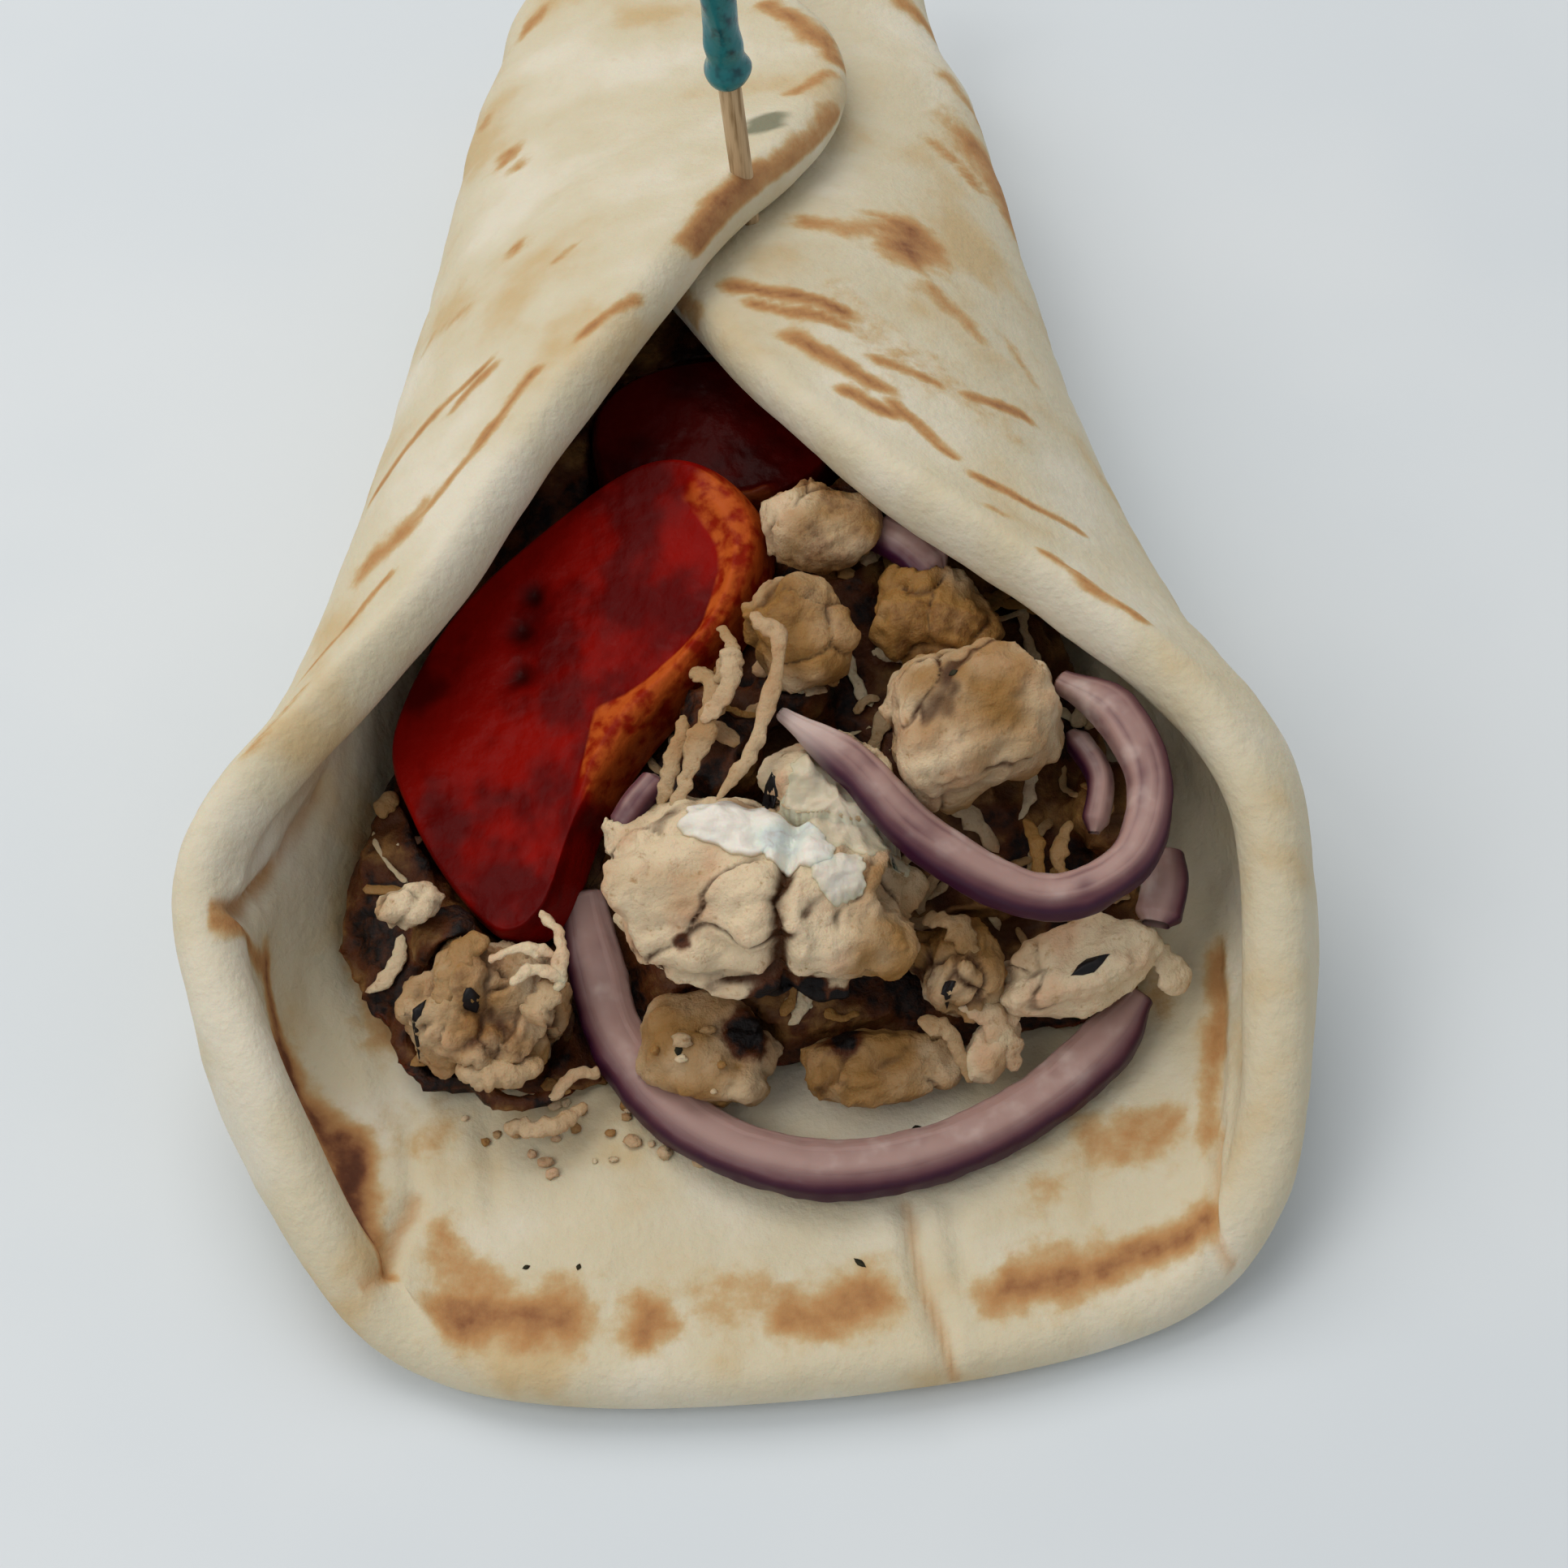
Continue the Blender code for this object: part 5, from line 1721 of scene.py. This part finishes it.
@dataclass(frozen=True)
class SaucePool:
    """Sauce lying on what is under it: its middle, its length and width, its turn and its thickness."""

    across: float
    along: float
    length: float
    width: float
    turn: float
    thickness: float
    seed: int
    sunk: float = 0.45
    sides: int = 96
    lines: int = 40

    def surface(self, ground: Ground) -> Surface:
        """A lens that follows the ground: its radius is the sine of the turn from top to underside.

        Its lift over the ground is the square root of that turn's cosine.

        Args:
            ground: gives the height under each place.

        Returns:
            The closed lens, with a ragged outline.
        """
        around = np.arange(self.sides) / self.sides * 2 * math.pi
        down = np.linspace(0.04, math.pi - 0.04, self.lines)
        circle = 7 * np.column_stack([np.cos(around), np.sin(around), np.full(self.sides, float(self.seed))])
        reach = np.sin(down)[:, None] * (1 + 0.42 * layered_noise(circle, 4.0, self.seed))
        u, v = reach * np.cos(around) * self.length / 2, reach * np.sin(around) * self.width / 2
        x = (self.across + u * math.cos(self.turn) - v * math.sin(self.turn)).ravel()
        y = (self.along + u * math.sin(self.turn) + v * math.cos(self.turn)).ravel()
        level = ground(x, y)
        level = np.where(level < 0, np.median(level), level)
        curds = 0.3 * layered_noise(np.column_stack([x, y, np.zeros(len(x))]), 2.0, self.seed + 4)
        cosine = np.repeat(np.cos(down), self.sides)
        dome = self.thickness * np.sqrt(np.clip(cosine, 0, 1)) * (1 + curds)
        z = level + dome - self.sunk * np.clip(-cosine, 0, 1) - 0.05
        values = {Value.DEPTH: np.clip(dome, 0, 1)}
        return Surface.capped(np.column_stack([x, y, z]).reshape(self.lines, self.sides, 3), values)


@dataclass(frozen=True)
class Fleck:
    """A flat scrap of herb or char: its place, its length and width, its turn and its half thickness."""

    across: float
    along: float
    length: float
    width: float
    turn: float = 0.0
    lift: float = 0.12

    def surface(self, ground: Ground) -> Surface:
        """A small pointed lens, bent with the ground under it.

        Args:
            ground: gives the height under each place.

        Returns:
            The closed scrap.
        """
        sides, lines = 12, 9
        around = np.arange(sides) / sides * 2 * math.pi
        down = np.linspace(0.1, math.pi - 0.1, lines)
        reach = np.sin(down)[:, None]
        u, v = reach * np.cos(around) * self.length / 2, reach * np.sin(around) ** 3 * self.width / 2
        x = (self.across + u * math.cos(self.turn) - v * math.sin(self.turn)).ravel()
        y = (self.along + u * math.sin(self.turn) + v * math.cos(self.turn)).ravel()
        level = ground(x, y)
        height = np.where(level < 0, level.max(), level) + self.lift * np.repeat(np.cos(down), sides) + 0.05
        return Surface.capped(np.column_stack([x, y, height]).reshape(lines, sides, 3))


@dataclass
class FrilledPick:
    """The pick: a birch stick, film wound round its upper part, and strands of film on top."""

    foot: Place = (1.3, 25.0, 31.0)
    lean: tuple[float, float] = (-0.03, 0.02)
    stick_radius: float = 1.1
    stick_length: float = 50.0
    sleeve_start: float = 24.0
    sleeve_length: float = 19.0
    sleeve_radius: float = 1.65
    frill_start: float = 43.5
    frill_length: float = 11.0
    frill_radius: float = 6.6
    strands: int = 30
    sides: int = 72

    def placed(self, local: Array) -> Array:
        """Turns points from the pick's own axes, with its foot at zero, to the frame."""
        lean = Matrix.Rotation(self.lean[0], 4, "Y") @ Matrix.Rotation(self.lean[1], 4, "X")
        return local @ np.array(lean.to_3x3()).T + np.array(self.foot)

    def turned(self, heights: Array, radii: Array, folds: float = 0.0) -> Array:
        """Rings round the pick's axis: radii at heights, with three soft folds that wind upwards.

        Args:
            heights: height of each ring.
            radii: radius of each ring.
            folds: how deep the folds are, as a share of the radius.

        Returns:
            Rings of points in the frame, as (lines, sides, 3).
        """
        angle = np.arange(self.sides) / self.sides * 2 * math.pi
        height, around = np.meshgrid(heights, angle, indexing="ij")
        reach = radii[:, None] * (1 + folds * np.sin(3 * around + 0.8 * height))
        local = np.stack([reach * np.cos(around), reach * np.sin(around), height], axis=2)
        return self.placed(local.reshape(-1, 3)).reshape(local.shape)

    def stick(self) -> Surface:
        """A cylinder that runs to a point over its last three millimetres."""
        heights = np.concatenate([np.linspace(0, 3, 6), np.linspace(3.5, self.stick_length, 30)])
        return Surface.capped(self.turned(heights, self.stick_radius * np.clip(0.25 + 0.25 * heights, 0, 1)))

    def sleeve(self) -> Surface:
        """A tube of film with a flared lower end: the inner wall down, then the outer wall up.

        Returns:
            The tube, closed as a ring.
        """
        start, end = self.sleeve_start, self.sleeve_start + self.sleeve_length
        up = np.linspace(start, end, 60)
        outer = self.sleeve_radius + 0.62 * bell(up - start - 0.8, 1.3) + 0.2 * bell(up - start - 4.2, 1.2)
        heights = np.concatenate([np.linspace(end, start, 8), up])
        radii = np.concatenate([np.full(8, self.stick_radius + 0.25), outer])
        rings = self.turned(heights, radii, 0.045)
        faces = grid_quads(len(heights), self.sides, close_lines=True, close_columns=True).tolist()
        return Surface(rings.reshape(-1, 3), faces)

    def strand(self, number: int) -> Surface:
        """One strand of film: a narrow strip that rises, leans out and curls over at its end.

        Args:
            number: picks its direction and its bend.

        Returns:
            The closed strip.
        """
        draw = np.random.default_rng(900 + number)
        along = np.linspace(0, 1, 34)
        turn = 2 * math.pi * (number * 0.618 % 1.0)
        out = self.sleeve_radius * 0.5 + self.frill_radius * draw.uniform(0.55, 0.95) * along**1.6
        out = out - 1.6 * draw.uniform(0.3, 1.0) * smooth_step((along - 0.75) / 0.25)
        height, bend = draw.uniform(0.72, 0.95), draw.uniform(0.9, 1.25)
        rise = self.frill_length * height * np.sin(along * math.pi / 2 * bend)
        heading = turn + 0.5 * draw.uniform(-1, 1) * along
        path = np.column_stack([out * np.cos(heading), out * np.sin(heading), self.frill_start + rise])
        angle = np.arange(8) / 8 * 2 * math.pi
        round_axis = (-math.sin(turn), math.cos(turn), 0.0)
        rings = carried(path, 0.06 * np.cos(angle), 0.5 * np.sin(angle), 1 - 0.4 * along, round_axis)
        return Surface.capped(self.placed(rings.reshape(-1, 3)).reshape(rings.shape))

    def build(self, wood: bpy.types.Material, film: bpy.types.Material) -> None:
        """Adds stick, sleeve and frill in place of their nodes.

        Args:
            wood: the stick's finish.
            film: the film's finish.
        """
        add_piece("birch_stick", self.stick(), wood, ("pick_stick",))
        add_piece("film_sleeve", self.sleeve(), film, ("pick_sleeve",))
        frill = Surface.joined([self.strand(number) for number in range(self.strands)])
        add_piece("film_frill", frill, film, ("pick_frill",))


@dataclass
class Studio:
    """The pale table, soft light from above and behind, and the camera at the photo's angle."""

    elevation: float = 56.76
    azimuth: float = -0.13
    camera_roll: float = -6.0
    distance: float = 283.64
    view_angle: float = 28.82
    target: Place = (-1.27, -32.05, 20.0)
    table_reach: float = 3000.0
    sky: str = "#E2E6EA"
    sky_strength: float = 0.55

    def add_camera(self) -> None:
        """Aims the camera at the target from its angle, turned about its own axis by the roll."""
        e, a, roll = map(math.radians, (self.elevation, self.azimuth, self.camera_roll))
        back = Vector((math.sin(a) * math.cos(e), -math.cos(a) * math.cos(e), math.sin(e)))
        right = (-back).cross(Vector((0, 0, 1))).normalized()
        up = right.cross(-back)
        turned_right = right * math.cos(roll) + up * math.sin(roll)
        turned_up = -right * math.sin(roll) + up * math.cos(roll)
        lens = bpy.data.cameras.new("camera")
        lens.sensor_fit = "HORIZONTAL"
        lens.angle = math.radians(self.view_angle)
        camera = bpy.data.objects.new("camera", lens)
        place = (Vector(self.target) + back * self.distance) * MM
        turn = Matrix((turned_right, turned_up, back)).transposed().to_4x4()
        camera.matrix_world = Matrix.Translation(place) @ turn
        bpy.context.scene.collection.objects.link(camera)
        bpy.context.scene.camera = camera

    def add_light(self, name: str, place: Place, size: float, power: float, colour: str) -> None:
        """A square soft light aimed at the wrap.

        Args:
            name: the light's name.
            place: where it hangs, in mm.
            size: its side, in mm.
            power: its power in watts.
            colour: its colour as hex.
        """
        lamp = bpy.data.lights.new(name, "AREA")
        lamp.shape = "SQUARE"
        lamp.size = size * MM
        lamp.energy = power
        lamp.color = linear_colour(colour)[:3]
        light = bpy.data.objects.new(name, lamp)
        light.location = Vector(place) * MM
        aim = Vector(self.target) - Vector(place)
        light.rotation_euler = aim.to_track_quat("-Z", "Y").to_euler()
        bpy.context.scene.collection.objects.link(light)

    def build(self, table: bpy.types.Material) -> None:
        """Adds the table, the lights, the sky and the camera, with colours shown as they are.

        Args:
            table: the table's finish.
        """
        sides = self.table_reach * np.array([(-1, -1, 0), (1, -1, 0), (1, 1, 0), (-1, 1, 0)], float)
        mesh = bpy.data.meshes.new("table")
        mesh.from_pydata((sides * MM).tolist(), [], [[0, 1, 2, 3]])
        mesh.materials.append(table)
        floor = bpy.data.objects.new("table", mesh)
        bpy.context.scene.collection.objects.link(floor)
        self.add_light("skylight", (-150.0, 420.0, 850.0), 700.0, 4.0, "#FFFBF4")
        self.add_light("window", (-500.0, -250.0, 700.0), 500.0, 2.0, "#FFFBF4")
        world = bpy.data.worlds.new("sky")
        world.use_nodes = True
        sky = world.node_tree.nodes["Background"]
        sky.inputs["Color"].default_value = linear_colour(self.sky)
        sky.inputs["Strength"].default_value = self.sky_strength
        bpy.context.scene.world = world
        bpy.context.scene.view_settings.view_transform = "Standard"
        self.add_camera()


def chicken_chunks() -> list[TornChunk]:
    """The torn pieces that lie on the heap, each with the way its fibres run.

    Returns:
        The chunks, each in place of one node.
    """
    clefts = (
        Cleft((-2.4, -50.0, 27.0), (1.0, -0.25, 0.1), 1.7, 0.9),
        Cleft((-12.0, -52.0, 21.0), (0.2, 1.0, 0.6), 0.8, 0.7),
    )
    chars_and_shadow = (
        # The first two are painted shadow in the dark cavity below the main piece; the other two are char
        Spot((-3.5, -54.8, 17.0), 4.2, 2.2),
        Spot((1.5, -55.5, 16.5), 2.6, 2.0),
        Spot((-11.7, -51.3, 26.0), 1.0, 1.0),
        Spot((8.7, -53.1, 17.0), 1.6, 1.6),
    )
    tans = (Spot((8.0, -50.0, 22.0), 8.0, 0.45), Spot((-14.0, -54.0, 17.0), 5.0, 0.35))
    # Painted shadow of the same cavity, on the pieces below it
    cavity_shadow_spots = (Spot((1.0, -54.0, 13.5), 3.2, 1.3), Spot((-6.5, -54.5, 15.0), 3.0, 1.3))
    return [
        TornChunk(
            "chicken_main", (1.0, 0.25, 0.1), seed=1, tone=0.15, browned=0.1, clod=9.0, lumps=0.9,
            tears=0.7, fibres=0.14, grain=0.4, clefts=clefts, chars_and_shadow=chars_and_shadow, tans=tans,
        ),
        TornChunk(
            "chicken_right_upper", (0.5, 0.8, 0.1), seed=2, tone=0.5, browned=0.25, clod=8.0,
            lumps=0.9, tears=0.6, fibres=0.15,
        ),
        TornChunk("chicken_centre_upper", (0.5, 0.9, 0.3), seed=3, tone=0.7, browned=0.4, clod=7.0),
        TornChunk("chicken_top", (0.8, 0.5, 0.2), seed=4, tone=0.7, browned=0.5, clod=7.0),
        TornChunk("chicken_top_right", (0.4, 0.9, 0.1), seed=5, tone=0.8, browned=0.5, clod=4.5),
        TornChunk(
            "chicken_sauced", (0.9, 0.4, 0.0), seed=6, tone=0.1, browned=0.1, clod=7.0, lumps=0.6,
            tears=0.5,
        ),
        TornChunk(
            "chicken_right_low", (1.0, 0.3, 0.2), seed=7, tone=0.2, browned=0.15, clod=7.0,
            lumps=0.8, tears=0.6, fibres=0.15,
        ),
        TornChunk(
            "chicken_right_flaky", (0.5, 0.8, 0.4), seed=8, tone=0.7, browned=0.5, clod=3.0,
            lumps=0.7, tears=1.0, fibres=0.4,
        ),
        TornChunk(
            "chicken_low_left", (0.9, 0.3, 0.2), seed=9, tone=0.55, browned=0.25, clod=6.0,
            chars_and_shadow=cavity_shadow_spots,
        ),
        TornChunk(
            "chicken_low_middle", (1.0, 0.1, 0.1), seed=10, tone=0.6, browned=0.3, clod=6.0,
            chars_and_shadow=cavity_shadow_spots,
        ),
        TornChunk(
            "chicken_left_cluster", (0.3, 0.8, 0.3), seed=11, tone=0.55, browned=0.5, clod=3.6,
            lumps=1.2, tears=1.6, fibres=0.5,
        ),
        TornChunk("chicken_left_bit", (0.8, 0.5, 0.1), seed=12, tone=0.5, browned=0.4, clod=3.0),
        TornChunk(
            "chicken_shard", (0.6, 0.8, 0.1), seed=13, tone=0.35, browned=0.1, clod=5.0, lumps=0.4,
            tears=0.4, fibres=0.3,
        ),
    ]


def named_flakes() -> tuple[Shred, ...]:
    """The flakes that show best: by the tomato, on the left cluster, in the onion's hook and at the right.

    Returns:
        The flakes, each with its path.
    """
    long_one = ((-2.6, -24.5, 37.0), (-0.4, -28.5, 36.6), (-3.4, -36.0, 33.2), (-7.4, -40.0, 30.6))
    broad_one = ((-8.4, -26.0, 31.6), (-6.6, -29.6, 32.6), (-8.4, -34.0, 31.0), (-11.4, -38.6, 27.6))
    return (
        Shred(long_one, 1.7, 0.9, 0.55, 1),
        Shred(broad_one, 3.0, 0.9, 0.6, 2),
        Shred(((-4.6, -26.6, 35.0), (-5.2, -30.0, 34.0), (-8.0, -32.5, 32.0)), 2.2, 0.9, 0.45, 3),
        Shred(((-9.6, -30.0, 30.0), (-10.8, -33.5, 29.0), (-12.8, -37.2, 26.4)), 2.2, 0.8, 0.7, 4),
        Shred(((-5.6, -23.5, 34.0), (-4.6, -26.5, 34.6), (-6.4, -29.0, 33.0)), 1.8, 0.8, 0.7, 5),
        Shred(((-24.6, -42.5, 19.4), (-22.9, -46.0, 19.8), (-23.6, -50.5, 18.0)), 1.5, 0.9, 0.0, 6),
        Shred(((-29.6, -47.2, 19.2), (-26.6, -46.6, 20.0), (-23.4, -47.4, 19.4)), 1.4, 0.9, 0.0, 7),
        Shred(((-27.8, -49.6, 18.8), (-25.4, -48.6, 19.4), (-22.6, -49.6, 18.4)), 1.5, 0.9, 0.1, 8),
        Shred(((-33.6, -54.6, 13.6), (-29.8, -56.0, 14.2), (-25.6, -54.8, 13.4)), 3.4, 2.0, 0.6, 9),
        Shred(((-26.4, -52.6, 16.8), (-24.4, -50.4, 17.6), (-23.2, -47.6, 17.2)), 3.0, 1.8, 0.6, 10),
        Shred(((-34.5, -50.0, 17.0), (-32.5, -46.5, 18.6), (-29.5, -44.5, 19.0)), 3.2, 1.8, 0.8, 11),
        Shred(((-30.0, -59.0, 9.6), (-26.0, -59.6, 9.8), (-22.2, -57.6, 9.4)), 2.2, 1.2, 0.6, 12),
        Shred(((-25.6, -57.4, 10.6), (-23.0, -55.4, 11.2), (-20.8, -55.0, 10.4)), 1.8, 1.0, 0.5, 13),
        Shred(((15.4, -42.0, 20.4), (18.0, -44.6, 20.6), (19.4, -47.4, 18.6)), 2.0, 0.9, 0.9, 14),
        Shred(((20.2, -39.6, 21.6), (21.0, -43.6, 21.2), (20.4, -47.0, 18.6)), 1.8, 0.8, 0.9, 15),
        Shred(((24.4, -40.0, 21.0), (22.8, -43.4, 20.4), (23.6, -46.6, 18.6)), 1.6, 0.8, 0.8, 16),
        Shred(((28.2, -50.0, 17.6), (30.8, -51.6, 15.6), (33.0, -54.2, 12.2)), 3.4, 1.2, 0.15, 17),
        Shred(((10.0, -47.2, 18.6), (12.8, -49.2, 19.8), (15.4, -53.6, 15.6)), 2.4, 1.0, 0.7, 18),
        Shred(((12.4, -54.0, 15.4), (15.2, -55.8, 14.0), (17.0, -59.4, 10.4)), 2.6, 1.0, 0.4, 19),
        Shred(((8.4, -55.6, 15.0), (11.2, -56.6, 13.8), (12.8, -60.0, 10.2)), 1.8, 1.0, 0.6, 20),
    )


def onion_bands() -> list[OnionBand]:
    """The onion strips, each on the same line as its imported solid.

    Returns:
        The bands, each in place of one node.
    """
    hook = (
        (-1.2, -32.3, 32.4),
        (5.1, -38.2, 31.0),
        (10.7, -44.9, 28.0),
        (20.1, -50.1, 25.0),
        (28.0, -48.4, 26.0),
        (31.2, -41.5, 27.5),
        (29.2, -34.5, 29.0),
        (24.4, -29.8, 29.0),
    )
    top = ((9.6, -12.6, 32.0), (12.4, -15.0, 32.0), (15.2, -18.2, 31.0))
    inner = ((25.2, -33.0, 25.0), (27.2, -38.0, 24.6), (26.0, -43.0, 23.0))
    right = ((30.6, -50.5, 18.5), (32.0, -46.5, 18.8), (32.2, -42.5, 18.0))
    left = ((-16.5, -38.5, 25.0), (-14.6, -36.5, 26.4), (-12.6, -34.2, 26.4))
    return [
        # The mauve shares of the hook, the top piece and the inner strip are partly painted shade
        OnionBand("onion_upper_hook", hook, 4.0, 3.0, (0.3, 0.6), 21, mauve=0.25, pale_tip=0.9),
        OnionBand("onion_lower_ring", LOWER_RING, 5.4, 3.2, (0.8, 0.5), 22, squareness=3.8),
        OnionBand("onion_top_piece", top, 4.2, 2.2, (0.5, 0.5), 23, mauve=0.3),
        OnionBand("onion_inner_strip", inner, 2.6, 2.2, (0.5, 0.4), 24, mauve=0.3),
        OnionBand("onion_right_slice", right, 4.4, 2.4, (0.6, 0.5), 25),
        OnionBand("onion_left_bit", left, 2.6, 2.2, (0.5, 0.5), 26, mauve=0.6),
    ]


def tomato_slices() -> list[TomatoSlice]:
    """The two tomato slices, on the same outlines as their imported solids.

    Returns:
        The slices, each in place of one node.
    """
    front = (
        (-17.8, -1.6),
        (-14.0, -4.4),
        (-5.0, -3.7),
        (4.0, -5.0),
        (13.0, -7.7),
        (20.5, -8.7),
        (27.2, -6.4),
        (30.5, 0.5),
        (28.5, 7.0),
        (19.0, 13.5),
        (7.0, 18.5),
        (-5.5, 18.2),
        (-12.0, 12.0),
        (-16.5, 4.0),
    )
    back = ((-11, -5), (-5, -9), (4, -9), (11, -5), (12, 3), (6, 8), (-4, 9), (-11, 5))
    pits = (SeedHollow(9.0, 10.5, 1.6), SeedHollow(12.5, 11.0, 1.3), SeedHollow(5.0, 8.5, 1.6))
    front_lie = ((-20.8, -28.5, 23.1), (0.526, 0.760, 0.382), (-0.289, -0.263, 0.921))
    back_lie = ((-4.5, 3.0, 29.3), (1.0, 0.1, 0.0), (0.0, -0.12, 0.99))
    return [
        TomatoSlice("tomato_front", front, 7.0, *front_lie, 61, hollows=pits, shaded=0.35),
        # The back slice's juicy value is painted shade that dims it all over
        TomatoSlice("tomato_back", back, 6.0, *back_lie, 62, wall_spread=10.0, wall_width=1.0, juicy=0.65),
    ]


def sauce_pools() -> tuple[SaucePool, ...]:
    """Sauce between the main piece and the one behind it, and thin films on both.

    Returns:
        The pools.
    """
    return (
        SaucePool(-4.6, -42.4, 12.0, 5.5, -0.35, 0.9, 5),
        SaucePool(-1.0, -44.6, 7.0, 5.0, -0.5, 0.8, 6),
        SaucePool(2.6, -47.6, 5.0, 4.0, 0.4, 0.45, 7),
        SaucePool(3.4, -40.6, 12.0, 8.0, -0.6, 0.22, 8),
    )


def herb_flecks() -> tuple[Fleck, ...]:
    """Dried herb on the pita and on the chicken.

    Returns:
        The flecks.
    """
    return (
        Fleck(-28.9, -71.4, 0.8, 0.5, 0.3),
        Fleck(-24.2, -71.9, 0.7, 0.5, 1.2),
        Fleck(0.9, -74.4, 1.5, 0.6, -0.8),
        Fleck(7.4, -61.7, 1.0, 0.6, 0.2),
        Fleck(1.0, -30.4, 1.0, 0.8, 0.2),
        Fleck(14.6, -33.1, 0.9, 0.7, 0.2),
        Fleck(-13.3, -55.7, 1.2, 0.8, 1.4),
        Fleck(-10.6, -28.6, 1.0, 0.6, 0.9),
    )


def char_flecks() -> tuple[Fleck, ...]:
    """Bits of char: the large seed on the sauced piece, and the sliver on the one at the right.

    Returns:
        The flecks.
    """
    return (
        Fleck(-2.7, -38.8, 3.4, 1.6, 1.3, 0.35),
        Fleck(1.0, -43.9, 1.6, 0.8, 0.1, 0.25),
        Fleck(24.2, -54.0, 4.0, 1.5, 0.35, 0.3),
        Fleck(-36.5, -50.5, 3.0, 1.0, 0.9, 0.3),
        Fleck(-31.5, -50.0, 1.8, 1.4, 0.4, 0.4),
        Fleck(11.4, -54.4, 1.6, 1.2, 0.4, 0.4),
    )


@dataclass
class Crumbs:
    """Crumbs of chicken round the chunks: lumps between the smallest and largest radius and tone."""

    count: int = 34
    seed: int = 70
    west: float = -34.0
    east: float = -8.0
    south: float = -63.0
    north: float = -54.0
    smallest: tuple[float, float] = (0.25, 0.2)
    largest: tuple[float, float] = (0.7, 0.9)
    sides: int = 10
    lines: int = 7

    def surfaces(self, ground: Ground) -> list[Surface]:
        """Balls of unit radius, made lumpy, stretched and set on the ground.

        Args:
            ground: gives the height under each place.

        Returns:
            One small closed surface for each crumb.
        """
        draw = np.random.default_rng(self.seed)
        around, down = np.meshgrid(
            np.arange(self.sides) / self.sides * 2 * math.pi, np.linspace(0.3, math.pi - 0.3, self.lines)
        )
        ball = np.stack([np.sin(down) * np.cos(around), np.sin(down) * np.sin(around), np.cos(down)], axis=2)
        made = []
        least = (self.west, self.south, *self.smallest)
        most = (self.east, self.north, *self.largest)
        for number in range(self.count):
            x, y, radius, shade = draw.uniform(least, most)
            stretch = radius * draw.uniform((0.8, 0.7, 0.5), (1.5, 1.2, 0.9))
            level = float(ground(np.array([x]), np.array([y]))[0])
            if level < 0:
                continue
            lumps = lattice_noise(2 * ball.reshape(-1, 3) + number, 1.2, number).reshape(down.shape)
            rings = ball * (1 + 0.35 * lumps)[:, :, None] * stretch + np.array([x, y, level + 0.5 * radius])
            tone = np.full(down.shape, shade)
            # Painted shade: depth falls in the dents of the lumps
            values = {Value.DEPTH: 0.6 + 0.3 * lumps, Value.BROWNED: 0.1 * tone, Value.TONE: tone}
            made.append(Surface.capped(rings, values))
        return made


MOUTH_FLOOR = 14.0


def main() -> None:
    """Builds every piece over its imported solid, then the table, the lights and the camera."""
    logging.basicConfig(level=logging.INFO, format="%(name)s: %(message)s")
    chicken = GrilledChicken().build()
    inside = PitaSheet(Roll()).build(GriddledPita().build())
    low = [face for face in inside.faces if inside.points[face[0]][2] < MOUTH_FLOOR]
    lying = [Surface(inside.points, low), ShreddedHeap().build(chicken, named_flakes())]
    lying += [chunk.build(chicken) for chunk in chicken_chunks()]
    onion = RedOnion().build()
    for band in onion_bands():
        band.build(onion)
    tomato = CutTomato().build()
    for tomato_slice in tomato_slices():
        tomato_slice.build(tomato)
    ground = ground_of(lying)
    sauce = Surface.joined([pool.surface(ground) for pool in sauce_pools()])
    add_piece("yoghurt_sauce", sauce, YoghurtSauce().build())
    herb = SpeckledStuff(name="Dried herb", roughness=0.8, first="#2E2A16", second="#171509", patch=0.5)
    leaves = Surface.joined([fleck.surface(ground) for fleck in herb_flecks()])
    add_piece("herb_flecks", leaves, herb.build())
    char = SpeckledStuff(name="Charred bits", roughness=0.5, first="#0D0B0C", second="#1C1618", patch=0.6)
    bits = Surface.joined([fleck.surface(ground) for fleck in char_flecks()])
    add_piece("char_flecks", bits, char.build())
    add_piece("chicken_crumbs", Surface.joined(Crumbs().surfaces(ground)), chicken)
    FrilledPick().build(BirchStick().build(), TealFilm().build())
    table = SpeckledStuff(name="Pale table", roughness=0.6, first="#D9DFE4", second="#DDE2E6", patch=60.0)
    Studio().build(table.build())


if __name__ == "__main__":
    for leftover in list(bpy.data.objects):
        bpy.data.objects.remove(leftover, do_unlink=True)
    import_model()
    main()
